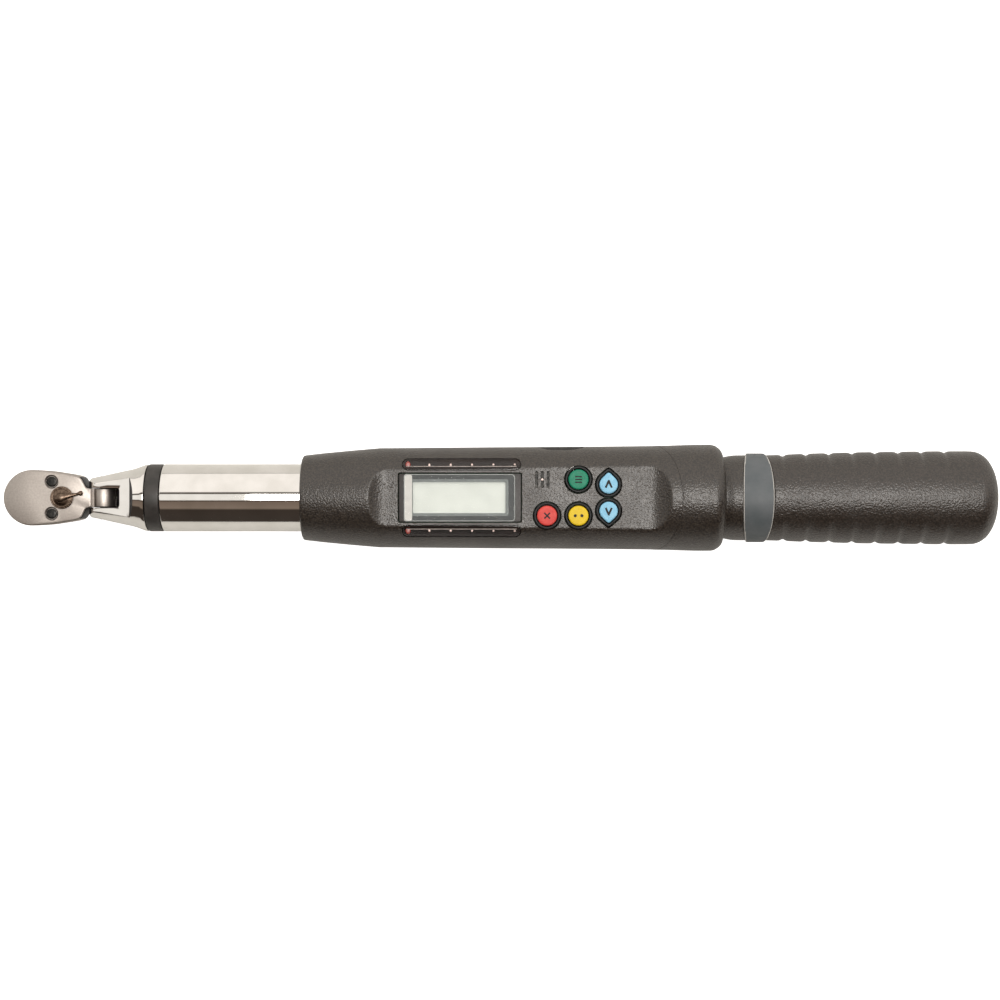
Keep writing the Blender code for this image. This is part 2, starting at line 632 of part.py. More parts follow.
# ---------------------------------------------------------------- display, keys and lights
def make_display():
    frame = rounded((0.1482, -0.00955), (0.1965, 0.00955), 0.0010)
    bezel = place("display_bezel", prism(frame, 0.0126, 0.0156), SLATE)
    carve(bezel, place("bezel_window", box((0.1522, -0.0078, 0), (0.1919, 0.0078, FAR))))
    pane = rounded((0.1500, -0.0095), (0.1943, 0.0095), 0.0016)
    place("display_lens", prism(pane, 0.0159, 0.0171), CLEAR)
    place("lcd_panel", box((0.1525, -0.0075, 0.0129), (0.1916, 0.0075, 0.0149)), LCD)


def make_board():
    board = place("main_board", box((0.1420, -0.0108, BOARD_Z[0]), (0.2360, 0.0108, BOARD_Z[1])), BOARD)
    arrows = ((ARROW_X, ARROW_Y), (ARROW_X, -ARROW_Y))
    for index, (x, y) in enumerate((MODE_KEY, CLEAR_KEY, UNIT_KEY, *arrows)):
        switch = box((x - 0.0017, y - 0.0017, 0.0100), (x + 0.0017, y + 0.0017, SWITCH_Z))
        carve(board, place(f"switch_form_{index}", switch), "UNION")
    place("buzzer", post((0.2050, 0.0070), BOARD_Z[1] + GAP, 0.0132, 0.0042), BLACK_STEEL)


def make_keypad():
    wide_end = [(0.2010, -0.0120), (0.2362, -0.0120), (0.2362, 0.0120)]
    buzzer_notch = [(0.2130, 0.0120), (0.2130, 0.0015), (0.2010, 0.0015)]
    mat = place("keypad_mat", prism(wide_end + buzzer_notch, *MAT_Z), BLACK_RUBBER)
    for name, outline in key_outlines(COLLAR_RADIUS, ARROW_RADIUS, ARROW_TIP).items():
        carve(mat, place(f"{name}_collar", prism(outline, 0.0130, COLLAR_TOP)), "UNION")
    for name, outline in key_outlines(KEY_BORE, 0.0039, 0.0055).items():
        carve(mat, place(f"{name}_bore", prism(outline, 0, FAR)))
    colours = {"mode_key": GREEN, "clear_key": RED, "unit_key": YELLOW, "up_key": BLUE, "down_key": BLUE}
    for name, outline in key_outlines(KEY_RADIUS, 0.0036, 0.0051).items():
        middle_x = sum(x for x, _ in outline) / len(outline)
        middle_y = sum(y for _, y in outline) / len(outline)
        travel_axis = pivot(f"{name}_axis", (middle_x, middle_y, KEY_Z[0]), TOOL)
        place(name, prism(outline, *KEY_Z), colours[name], travel_axis)


def make_led_bars(tools):
    for name, side in (("left", 1), ("right", -1)):
        bar = place(f"led_bar_{name}", prism(bar_outline(side), 0.0118, FAR), SMOKED)
        carve(bar, tools["outer"], "INTERSECT")
        carve(bar, tools["panel"])
        low, high = sorted((side * 0.0112, side * 0.0140))
        strip = place(f"led_strip_{name}", box((0.1496, low, 0.0096), (0.1964, high, 0.0106)), BOARD)
        for index in range(LED_COUNT):
            x = 0.1518 + LED_PITCH * index
            y = side * 0.0128
            led = box((x - 0.0008, y - 0.0008, 0.0100), (x + 0.0008, y + 0.0008, 0.0114))
            carve(strip, place(f"led_form_{name}_{index}", led), "UNION")


def make_cells():
    for index in range(4):
        row, side = divmod(index, 2)
        start = CELL_START_X + row * (CELL_LENGTH + 0.0008)
        body = [(start, 0), (start, CELL_RADIUS), (start + CELL_LENGTH - 0.0008, CELL_RADIUS)]
        end = start + CELL_LENGTH
        nub = [(end - 0.0008, 0.0019), (end, 0.0019), (end, 0)]
        shape = lathe(body + nub, COARSE)
        if side:
            middle = (start + CELL_LENGTH / 2, 0, 0)
            bmesh.ops.rotate(shape, cent=middle, matrix=Matrix.Rotation(math.pi, 3, "Z"), verts=shape.verts)
        offset = Vector((0, CELL_Y * (1 - 2 * side), CELL_Z))
        bmesh.ops.translate(shape, vec=offset, verts=shape.verts)
        place(f"battery_{index + 1}", shape, CELL_WRAP)
    end = CELL_START_X + 2 * CELL_LENGTH + 0.0008
    for name, low, high in (("front", 0.1444, CELL_START_X - GAP), ("rear", end + GAP, end + 0.0008)):
        strip = box((low, -0.0102, -0.0140), (high, 0.0102, -0.0060))
        place(f"battery_contact_{name}", strip, SPRING_STEEL)


# ---------------------------------------------------------------- light ring and grip
def make_light_ring():
    front, rear = RING_FRONT, RING_REAR
    profile = [
        (front[0], RING_INNER, front[1]),
        (front[0], RING_OUTER, front[1]),
        (rear[0], RING_OUTER, rear[1]),
        (rear[0], RING_INNER, rear[1]),
    ]
    place("light_ring", lathe(profile, FINE), FROSTED)
    board = [(0.2910, GRIP_BORE), (0.2910, 0.0118), (0.2918, 0.0118), (0.2918, GRIP_BORE)]
    place("light_ring_board", lathe(board, MEDIUM), BOARD)


def groove(along, angle):
    """How far the grip's grooves sink in: deepest at the sides, nothing at the top and bottom."""
    nearest = round((along - GROOVE_FIRST_X) / GROOVE_PITCH)
    nearest = min(max(nearest, 0), GROOVE_COUNT - 1)
    offset = abs(along - GROOVE_FIRST_X - nearest * GROOVE_PITCH)
    depth = GROOVE_DEPTH * max(0.0, 1 - offset / GROOVE_HALF_WIDTH)
    return depth * max(0.0, abs(math.cos(angle)) * 1.5 - 0.5)


def grip_radius(x):
    """The outline of the grip, rising from the light ring to its widest place."""
    for (start, low), (end, high) in zip(GRIP_STATIONS, GRIP_STATIONS[1:]):
        if x <= end:
            return low + (high - low) * (x - start) / (end - start)
    return GRIP_STATIONS[-1][1]


def make_grip():
    """A cup that slides over the core bar, written from its closed end round to the end of its bore."""
    front, lean = RING_REAR[0] + GAP, RING_REAR[1]
    face = [(0.3882, 0), (0.3879, 0.0052), (0.3870, 0.0097), (0.3854, 0.0134)]
    end_cap = face + [(0.3832, 0.0163), (0.3803, 0.0182), (0.3772, 0.01885)]
    side = []
    for index in reversed(range(GROOVE_COUNT)):
        middle = GROOVE_FIRST_X + index * GROOVE_PITCH
        for x in (middle + GROOVE_HALF_WIDTH, middle, middle - GROOVE_HALF_WIDTH):
            side.append((x, grip_radius(x)))
    mouth = [(front, grip_radius(front), lean), (front, GRIP_BORE, lean)]
    bore = [(GRIP_BORE_END_X, GRIP_BORE), (GRIP_BORE_END_X, 0)]
    place("grip", lathe(end_cap + side + mouth + bore, 28, dent=groove), HOUSING)


make_head_body()
make_cover_plate()
make_drive_gear()
make_detent_ball()
make_pawl()
make_lever()
make_fork()
make_tube()
make_load_path()
shared_tools = make_form_tools()
make_upper_housing(shared_tools)
make_lower_housing(shared_tools)
make_port(shared_tools)
make_rear_collar(shared_tools)
make_display()
make_board()
make_keypad()
make_led_bars(shared_tools)
make_cells()
make_light_ring()
make_grip()
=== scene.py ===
# %% [markdown]
# # An electronic torque wrench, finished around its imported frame
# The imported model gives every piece's place and motion. This script gives the surfaces that people see: turned
# and forged steel, chrome, spark-textured ABS, silicone keys and clear windows. All shapes are written in
# millimetres about the tool axis, and one function carries them into the frame.

# %% Load the frame
import json
import math

import bmesh
import bpy
import numpy as np
from mathutils import Matrix, Vector


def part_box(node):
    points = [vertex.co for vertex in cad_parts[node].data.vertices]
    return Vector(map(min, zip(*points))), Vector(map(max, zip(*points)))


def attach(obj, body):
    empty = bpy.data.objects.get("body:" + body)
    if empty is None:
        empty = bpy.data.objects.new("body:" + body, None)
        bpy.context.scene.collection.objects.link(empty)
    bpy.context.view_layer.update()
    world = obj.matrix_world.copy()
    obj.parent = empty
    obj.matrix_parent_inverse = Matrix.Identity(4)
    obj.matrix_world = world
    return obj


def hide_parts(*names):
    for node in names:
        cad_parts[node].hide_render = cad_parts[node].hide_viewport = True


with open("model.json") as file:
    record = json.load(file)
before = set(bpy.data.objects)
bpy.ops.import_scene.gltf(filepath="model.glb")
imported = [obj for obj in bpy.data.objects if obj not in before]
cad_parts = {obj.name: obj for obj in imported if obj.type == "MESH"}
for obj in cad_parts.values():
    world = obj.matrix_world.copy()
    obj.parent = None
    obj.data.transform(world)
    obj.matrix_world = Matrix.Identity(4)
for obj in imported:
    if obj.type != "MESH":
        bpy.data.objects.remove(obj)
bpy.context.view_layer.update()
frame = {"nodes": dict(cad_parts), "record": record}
JOINTS = {joint["name"]: joint for joint in frame["record"]["behaviour"]["joints"]}

# %% [markdown]
# ## Millimetres about the tool axis
# A turned tool is easiest to write about its own axis. The tube gives that axis, and `span` reads where any
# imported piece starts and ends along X, Y or Z, so the finished piece lands exactly on it.

# %% Places
MM = 0.001
tube_low, tube_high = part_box("barrel_tube")
AXIS_Z = (tube_low[2] + tube_high[2]) / 2
ORIGIN = Vector((0, 0, AXIS_Z))


def span(node, axis="X"):
    """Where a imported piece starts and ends, in millimetres about the tool axis."""
    index = "XYZ".index(axis)
    low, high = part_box(node)
    return (low[index] - ORIGIN[index]) / MM, (high[index] - ORIGIN[index]) / MM


def joint_x(name):
    """How far along the tool a joint lies, in millimetres."""
    return JOINTS[name]["pos_m"][0] / MM


TILT_X = joint_x("head_tilt")
LEVER_X = joint_x("lever_turn")
print(f"tool axis {AXIS_Z / MM:.2f} mm up, tilt at X {TILT_X:.1f}, lever at X {LEVER_X:.1f}")

# %% [markdown]
# ## Outlines with soft corners
# Real edges are never razor sharp: a small radius catches a line of light. `soften` takes corner points with
# a radius each and puts a short curve at every corner, for turned profiles and for plan outlines alike.

# %% Soft corners


def soften(points, closed=True, steps=5):
    """Rounds the corners of (a, b, radius) points with short curves."""
    result = []
    count = len(points)
    for index, (a, b, radius) in enumerate(points):
        inner = closed or 0 < index < count - 1
        if radius <= 0 or not inner:
            result.append((a, b))
            continue
        corner = Vector((a, b))
        before = Vector(points[index - 1][:2]) - corner
        after = Vector(points[(index + 1) % count][:2]) - corner
        reach = min(radius, before.length * 0.49, after.length * 0.49)
        start = corner + before.normalized() * reach
        end = corner + after.normalized() * reach
        for step in range(steps + 1):
            t = step / steps
            point = start * (1 - t) ** 2 + corner * 2 * t * (1 - t) + end * t**2
            result.append((point.x, point.y))
    return result


print("soften ready")

# %% Rounds, pills and rectangles


def arc(centre, radius, start, end, steps):
    angles = np.radians(np.linspace(start, end, steps + 1))
    return [(centre[0] + radius * math.cos(a), centre[1] + radius * math.sin(a)) for a in angles]


def ring_outline(centre, radius, steps=72):
    return arc(centre, radius, 0, 360 - 360 / steps, steps - 1)


def pill(low, high, grow=0.0, steps=16):
    """A stadium outline along X between two corners."""
    radius = (high[1] - low[1]) / 2 + grow
    middle = (high[1] + low[1]) / 2
    right = arc((high[0] - radius + grow, middle), radius, -90, 90, steps)
    left = arc((low[0] + radius - grow, middle), radius, 90, 270, steps)
    return right + left


def rounded(low, high, radius):
    corners = [(low[0], low[1]), (high[0], low[1]), (high[0], high[1]), (low[0], high[1])]
    return soften([(x, y, radius) for x, y in corners], steps=8)


print("outline helpers ready")

# %% [markdown]
# ## Meshes from outlines
# Almost every piece here is skinned through loops of points. A prism is two equal loops at two heights, and a
# turned mesh spins a profile about an axis, as a lathe does. One function puts the points in the frame.

# %% Skins and prisms


def mesh_of(name, points, faces):
    """A mesh from points in millimetres about the tool axis, with its faces turned outwards."""
    mesh = bpy.data.meshes.new(name)
    mesh.from_pydata([(x * MM, y * MM, z * MM + AXIS_Z) for x, y, z in points], [], faces)
    shape = bmesh.new()
    shape.from_mesh(mesh)
    bmesh.ops.remove_doubles(shape, verts=shape.verts, dist=1e-7)
    bmesh.ops.recalc_face_normals(shape, faces=shape.faces)
    shape.to_mesh(mesh)
    shape.free()
    return mesh


def lofted(name, loops, ends=True):
    """Skins a run of equal loops of points, and closes both ends or joins the last loop to the first."""
    count, rows = len(loops[0]), len(loops)
    points = [point for loop in loops for point in loop]
    faces = []
    for row in range(rows - 1 if ends else rows):
        upper = ((row + 1) % rows) * count
        for column in range(count):
            after = (column + 1) % count
            faces.append((row * count + column, row * count + after, upper + after, upper + column))
    if ends:
        faces.append(tuple(range(count)))
        faces.append(tuple(range((rows - 1) * count, rows * count)))
    return mesh_of(name, points, faces)


def stepped(name, levels, ends=True):
    """A solid through (outline, height) levels with equal numbers of points."""
    return lofted(name, [[(x, y, height) for x, y in outline] for outline, height in levels], ends)


def round_rims(mesh, width, angle=50, segments=3):
    """Rounds the edges that turn by more than an angle."""
    shape = bmesh.new()
    shape.from_mesh(mesh)
    limit = math.radians(angle)
    rims = [edge for edge in shape.edges if edge.calc_face_angle(0) > limit]
    sizes = {"offset": width * MM, "segments": segments, "profile": 0.5}
    bmesh.ops.bevel(shape, geom=rims, affect="EDGES", clamp_overlap=True, **sizes)
    shape.to_mesh(mesh)
    shape.free()


def prism(name, outline, low, high, axis="Z", bevel=0.0):
    """An outline raised between two heights. Along Y its points are (x, z), and along X they are (y, z)."""
    order = {"Z": (0, 1, 2), "Y": (0, 2, 1), "X": (2, 0, 1)}[axis]
    raised = [[(a, b, level) for a, b in outline] for level in (low, high)]
    mesh = lofted(name, [[tuple(point[i] for i in order) for point in loop] for loop in raised])
    if bevel:
        round_rims(mesh, bevel)
    return mesh


print("skins ready")

# %% Turning


def turned(name, profile, steps=128, axis="X", centre=(0, 0), lean=None):
    """Spins (along, radius) points about X or Z. Points on the axis close the ends. lean slants a ring."""
    points, rings = [], []
    angles = np.linspace(0, math.tau, steps, endpoint=False)
    for along, radius in profile:
        ring = []
        for angle in angles if radius > 1e-6 else angles[:1]:
            side, up = radius * math.cos(angle), radius * math.sin(angle)
            shift = lean(along) * up if lean else 0.0
            ring.append(len(points))
            upright = (centre[0] + side, centre[1] + up, along)
            points.append((along + shift, side, up) if axis == "X" else upright)
        rings.append(ring)
    faces = []
    open_ended = len(rings[0]) == 1 and len(rings[-1]) == 1
    for first, second in zip(rings, rings[1:] + ([] if open_ended else rings[:1])):
        for index in range(steps):
            after = (index + 1) % steps
            loop = [first[index % len(first)], first[after % len(first)]]
            loop += [second[after % len(second)], second[index % len(second)]]
            kept = tuple(dict.fromkeys(loop))
            if len(kept) > 2:
                faces.append(kept)
    return mesh_of(name, points, faces)


print("lathe ready")

# %% [markdown]
# ## Milling and welding
# Boolean tools cut, keep and join solids as a machinist would. `finished` reads the modifiers' result into a
# plain mesh, because a finished piece carries no tools.

# %% Solid tools
CUT, KEEP, WELD = "DIFFERENCE", "INTERSECT", "UNION"
THROUGH = 20  # far enough to cut right through the tool, in mm


def solid(mesh):
    """An object for a mesh, linked so that its modifiers can be worked out."""
    made = bpy.data.objects.new(mesh.name, mesh)
    bpy.context.scene.collection.objects.link(made)
    return made


def finished(worked):
    """The result of an object's modifiers as a plain mesh. The working object goes away."""
    graph = bpy.context.evaluated_depsgraph_get()
    mesh = bpy.data.meshes.new_from_object(worked.evaluated_get(graph))
    bpy.data.objects.remove(worked, do_unlink=True)
    return mesh


def machined(blank, *steps):
    """Applies Boolean steps, each (operation, mesh), to a blank mesh."""
    worked = solid(blank)
    tools = []
    for operation, mesh in steps:
        tool = solid(mesh)
        step = worked.modifiers.new(operation, "BOOLEAN")
        step.operation, step.solver, step.object = operation, "EXACT", tool
        tools.append(tool)
    mesh = finished(worked)
    for tool in tools:
        bpy.data.objects.remove(tool, do_unlink=True)
    return mesh


def drill(centre, radius, steps, low, high, axis="Z"):
    """A step that drills a round hole between two heights."""
    return CUT, prism("drill", ring_outline(centre, radius, steps), low, high, axis)


def set_down(mesh, turn, place=(0, 0, 0)):
    """Turns a mesh about the tool axis's origin and moves it to a place in millimetres."""
    mesh.transform(Matrix.Translation(ORIGIN + Vector(place) * MM) @ turn @ Matrix.Translation(-ORIGIN))


print("solid tools:", CUT, KEEP, WELD)

# %% [markdown]
# ## Finishes on faces, and the hand-over
# A mesh keeps its finishes in slots, and each face names its slot. `painted` picks faces by a rule, which is how
# one forging gets both bright and dark areas. `piece` smooths a mesh and gives it to its body.

# %% Slots and pieces


def coat(mesh, *materials):
    """Puts finishes in a mesh's slots, in order."""
    mesh.materials.clear()
    for material in materials:
        mesh.materials.append(material)
    return mesh


def painted(mesh, main, second, chosen):
    """Gives faces a second finish by a rule, which sees a face's middle in mm and its normal."""
    coat(mesh, main, second)
    for face in mesh.polygons:
        face.material_index = int(chosen((Vector(face.center) - ORIGIN) / MM, face.normal))
    return mesh


def joined(name, meshes):
    """Several separate meshes as one, each keeping its own material."""
    shape = bmesh.new()
    materials = []
    for mesh in meshes:
        offset, known = len(materials), len(shape.faces)
        materials += list(mesh.materials) or [None]
        shape.from_mesh(mesh)
        shape.faces.ensure_lookup_table()
        for face in shape.faces[known:]:
            face.material_index += offset
    result = coat(bpy.data.meshes.new(name), *materials)
    shape.to_mesh(result)
    shape.free()
    return result


PIECES = []


def piece(name, mesh, material, body, *nodes, slot=None, sharp=30):
    """Shades a finished mesh, gives it its finish and hands it to the frame."""
    if material:
        coat(mesh, *[known or material for known in mesh.materials] or [material])
    mesh.shade_smooth()
    mesh.set_sharp_from_angle(angle=math.radians(sharp))
    made = bpy.data.objects.new(name, mesh)
    bpy.context.scene.collection.objects.link(made)
    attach(made, body)
    if nodes:
        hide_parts(*nodes)
    PIECES.append(made)
    print(f"{name}: {len(mesh.polygons)} faces on {body}")


print("hand-over ready")

# %% [markdown]
# ## Adding nodes
# Shaders and geometry trees are both graphs. One function adds a node, its settings, and its inputs, where an
# input is either a plain value or another node's socket.

# %% Node helper


def add(tree, kind, settings=None, inputs=None):
    """A new node. Inputs are named or numbered, and each is a constant or a socket to link from."""
    node = tree.nodes.new(kind)
    for key, value in (settings or {}).items():
        setattr(node, key, value)
    for key, value in (inputs or {}).items():
        if isinstance(value, bpy.types.NodeSocket):
            tree.links.new(value, node.inputs[key])
        else:
            node.inputs[key].default_value = value
    return node


def linear(code):
    """An sRGB hex colour as linear red, green, blue and alpha."""
    parts = [int(code[i : i + 2], 16) / 255 for i in (1, 3, 5)]
    return (*[c / 12.92 if c <= 0.04045 else ((c + 0.055) / 1.055) ** 2.4 for c in parts], 1.0)


print("mid grey is", [round(value, 3) for value in linear("#808080")[:3]], "in linear light")

# %% [markdown]
# ## What all the finishes share
# No real surface has one flat colour. Each finish here drifts between two near colours in clouds, changes a
# little in gloss, and has a fine relief. The sizes are real ones in millimetres.

# %% Finish helpers


def grain(tree, place, size, detail=2.0):
    """Noise whose blotches are about a size in millimetres."""
    inputs = {"Vector": place, "Scale": 1 / (size * MM), "Detail": detail}
    return add(tree, "ShaderNodeTexNoise", None, inputs).outputs["Fac"]


def ramp(tree, factor, low, high, start=0.35, end=0.65):
    """Turns a noise value into a colour or a number between two ends."""
    inputs = {"Value": factor, "From Min": start, "From Max": end}
    level = add(tree, "ShaderNodeMapRange", None, inputs).outputs["Result"]
    if isinstance(low, tuple):
        return add(tree, "ShaderNodeMix", {"data_type": "RGBA"}, {0: level, 6: low, 7: high}).outputs[2]
    inputs = {"Value": level, "To Min": low, "To Max": high}
    return add(tree, "ShaderNodeMapRange", None, inputs).outputs["Result"]


def finish(name, dark, light, rough, height, depth, clouds, gloss_clouds, fixed):
    """A Principled surface from patterns. height and clouds are made from the tree and the object's space."""
    made = bpy.data.materials.new(name)
    made.use_nodes = True
    tree = made.node_tree
    shader = tree.nodes["Principled BSDF"]
    place = add(tree, "ShaderNodeTexCoord").outputs["Object"]
    tree.links.new(clouds(tree, place, linear(dark), linear(light)), shader.inputs["Base Color"])
    tree.links.new(ramp(tree, grain(tree, place, gloss_clouds), *rough), shader.inputs["Roughness"])
    relief = {"Height": height(tree, place), "Distance": depth * MM, "Strength": 1.0}
    tree.links.new(add(tree, "ShaderNodeBump", None, relief).outputs["Normal"], shader.inputs["Normal"])
    for key, value in fixed.items():
        shader.inputs[key].default_value = value
    return made


def plain_finish(name, dark, light, rough, metallic, size, depth, wear, **fixed):
    """Fine grain in the relief, and broader clouds in the colour and the gloss."""
    fixed["Metallic"] = metallic

    def height(tree, place):
        return grain(tree, place, size)

    def clouds(tree, place, low, high):
        return ramp(tree, grain(tree, place, wear), low, high)

    return finish(name, dark, light, rough, height, depth, clouds, wear * 0.7, fixed)


print("finish helpers ready")

# %% [markdown]
# ## Steel and chrome
# The head is forged alloy steel, blasted and satin plated, so its grain is fine and its highlight wide. The fork
# and tube are polished and chrome plated: almost a mirror, with only faint smudges in the gloss. Small screws
# are black oxide, which stays a dark metal with an oily sheen. The dark steel on the fork's slot walls and on
# the head's shoulders is painted shade, put where shade falls in those narrow places.

# %% Metal finishes
# Each line gives two colours, roughness, metallic, then grain, depth and cloud size in mm.
SATIN_PLATE = plain_finish("satin_plated_steel", "#A69F99", "#B2ABA5", (0.36, 0.40), 1, 0.5, 0.010, 0.7)
CHROME = plain_finish("polished_chrome_plate", "#E4E2DE", "#EFEDEA", (0.035, 0.075), 1, 6.0, 0.004, 9.0)
BROWNED = plain_finish("tempered_lever_steel", "#5E4F44", "#7A6A5D", (0.22, 0.32), 1, 0.5, 0.010, 1.2)
BLACK_OXIDE = plain_finish("black_oxide_steel", "#2A2A2A", "#3B3A38", (0.28, 0.4), 1, 0.4, 0.01, 1.0)
GROUND = plain_finish("ground_tool_steel", "#8B8884", "#A19E99", (0.28, 0.42), 1, 0.3, 0.01, 1.5)
SPRING = plain_finish("drawn_spring_steel", "#B4B3B0", "#C6C5C2", (0.2, 0.3), 1, 0.2, 0.005, 1.0)
COPPER_FOIL = plain_finish("etched_copper_foil", "#B08A4A", "#C29B58", (0.3, 0.42), 1, 0.3, 0.006, 1.0)
# Painted shade: this dark steel goes on faces where shade falls, on the fork's slot and the head's shoulders.
PAINTED_SHADE_STEEL = plain_finish("dark_forging_scale", "#17161A", "#232227", (0.34, 0.46), 0.6, 0.5, 0.02, 1.2)
print("metals:", SATIN_PLATE.name, CHROME.name, BLACK_OXIDE.name)

# %% [markdown]
# ## Spark-textured ABS
# The housing and the grip are moulded in a spark-eroded cavity. The eroded craters scatter light into small
# bright specks wherever the surface faces a lamp. Cellular noise gives separate craters, and a second, softer
# noise breaks up their evenness. Real craters are about 0.4 mm across: these are drawn half as large again, so
# that they show.

# %% Moulded ABS


def spark_abs(name, dark, light, crater, depth):
    def height(tree, place):
        inputs = {"Vector": place, "Scale": 1 / (crater * MM)}
        cells = add(tree, "ShaderNodeTexVoronoi", {"feature": "SMOOTH_F1"}, inputs).outputs["Distance"]
        drift = grain(tree, place, crater, 1.0)
        return add(tree, "ShaderNodeMath", {"operation": "MULTIPLY"}, {0: cells, 1: drift}).outputs[0]

    def clouds(tree, place, low, high):
        return ramp(tree, grain(tree, place, crater, 1.0), low, high, 0.38, 0.62)

    fixed = {"Specular IOR Level": 0.85}
    return finish(name, dark, light, (0.32, 0.40), height, depth, clouds, 14.0, fixed)


ABS = spark_abs("spark_textured_abs", "#1A1512", "#373029", 0.62, 0.25)
GRIP_ABS = spark_abs("spark_textured_grip_abs", "#19140F", "#352D27", 0.64, 0.31)
print("moulded:", ABS.name, GRIP_ABS.name)

# %% [markdown]
# ## Rubber, silicone and paint
# The isolation ring and the port cover are black nitrile rubber. The keys are coloured silicone with a satin
# face. Inks are printed so thin that they have almost no relief of their own.

# %% Rubbers, silicones and inks
NITRILE = plain_finish("moulded_nitrile_rubber", "#2E2C2A", "#3A3735", (0.40, 0.48), 0, 0.4, 0.02, 4.0)
PORT_RUBBER = plain_finish("black_port_rubber", "#080707", "#0F0E0D", (0.5, 0.6), 0, 0.4, 0.02, 3.0)
COLLAR_SILICONE = plain_finish("black_silicone_mat", "#06090B", "#0C1013", (0.5, 0.6), 0, 0.3, 0.006, 2.0)
KEY_INK = plain_finish("printed_key_ink", "#0B0D10", "#101418", (0.6, 0.7), 0, 0.2, 0.002, 1.0)
# Painted highlight: a silver line round the display card, for light along the pane's rounded rim.
PANE_RIM_HIGHLIGHT = plain_finish("silver_printed_line", "#8C908F", "#9CA09E", (0.35, 0.45), 0.3, 0.3, 0.003, 3.0)
STEP_GREY = plain_finish("grey_printed_border", "#5E6867", "#687271", (0.3, 0.36), 0, 0.3, 0.003, 4.0)
# Painted reflection: a pale strip on the display border at the head's end.
PAINTED_REFLECTION_STRIP = plain_finish("pale_printed_border", "#DCDBD6", "#E4E3DE", (0.3, 0.36), 0, 0.3, 0.003, 2.0)
dull = {"Specular IOR Level": 0.25}
PRINTED_SLATE = plain_finish("slate_printed_acrylic", "#24292B", "#2B3032", (0.3, 0.36), 0, 0.3, 0.003, 5, **dull)
KEY_COLOURS = {
    "mode_key": ("green_silicone", "#047A5C", "#088767"),
    "clear_key": ("red_silicone", "#CC3A35", "#D84840"),
    "unit_key": ("yellow_silicone", "#DDBB08", "#E6C514"),
    "up_key": ("blue_silicone", "#84C2E2", "#92CCE9"),
}
KEYS = {key: plain_finish(*colours, (0.5, 0.6), 0, 0.25, 0.008, 2.0) for key, colours in KEY_COLOURS.items()}
KEYS["down_key"] = KEYS["up_key"]
print("keys:", ", ".join(sorted({m.name for m in KEYS.values()})))

# %% [markdown]
# ## Clear plastics, and painted light on them
# The window is clear acrylic, thin enough that what lies behind shows straight through it. The LED bars are
# smoked polycarbonate, and a pale strip on each is a painted highlight. The light ring is polycarbonate with a
# blasted inside, which makes it milky; the pale finish on its rims is a painted highlight. The liquid crystal
# is reflective, and a faint painted glow brightens it.

# %% Clear plastics and small parts
clear = {"Alpha": 0.08, "Specular IOR Level": 0.10}
ACRYLIC = plain_finish("clear_cast_acrylic", "#8E9494", "#989E9E", (0.03, 0.06), 0, 3.0, 0.004, 8.0, **clear)
smoke = {"Alpha": 0.70}
SMOKED = plain_finish("smoked_polycarbonate", "#1E1513", "#2A1E1B", (0.14, 0.2), 0, 3.0, 0.004, 8.0, **smoke)
milk = {"Transmission Weight": 0.25}
MILKY = plain_finish("frosted_polycarbonate", "#60676B", "#6B7074", (0.50, 0.58), 0, 0.8, 0.008, 7.0, **milk)
# Painted glow: the display is off, and this faint emission only brightens it.
painted_glow = {"Emission Color": linear("#E8F2EC"), "Emission Strength": 0.12}
LCD_GLASS = plain_finish("reflective_lcd", "#E2E8E1", "#EAF0E9", (0.45, 0.5), 0, 0.2, 0.002, 6.0, **painted_glow)
# Painted highlight: a pale finish on the light ring's rims, for the line of light along them.
RING_RIM_HIGHLIGHT = plain_finish("edge_lit_rim", "#B4B2AE", "#C4C2BE", (0.3, 0.4), 0, 0.6, 0.004, 3.0)
LED_LENS = plain_finish("warm_led_lens", "#E9CFC6", "#F4DED6", (0.2, 0.3), 0, 0.2, 0.002, 0.6)
RED_LED_LENS = plain_finish("red_led_lens", "#8A3C36", "#9E4A42", (0.2, 0.3), 0, 0.2, 0.002, 0.6)
# Painted highlight: a pale strip for the line of light along each smoked LED bar.
BAR_HIGHLIGHT = plain_finish("pale_light_pipe", "#8A7E77", "#A09389", (0.2, 0.3), 0, 0.3, 0.002, 2.0)
BEZEL_ABS = plain_finish("smooth_moulded_abs", "#231F1D", "#2E2927", (0.38, 0.46), 0, 0.5, 0.02, 1.0)
SOLDER_MASK = plain_finish("green_solder_mask", "#0F4A2A", "#185C36", (0.35, 0.5), 0, 0.5, 0.01, 3.0)
CELL_SLEEVE = plain_finish("shrunk_cell_sleeve", "#26262A", "#34343A", (0.25, 0.35), 0, 0.6, 0.006, 5.0)
print("clear:", ACRYLIC.name, SMOKED.name, MILKY.name)

# %% [markdown]
# ## Finishes for the pieces kept from the frame
# Boards, cells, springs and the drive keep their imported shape: a toothed wheel with a 6.35 mm square below it
# and a spring ball is right as it is. They only need their real material.

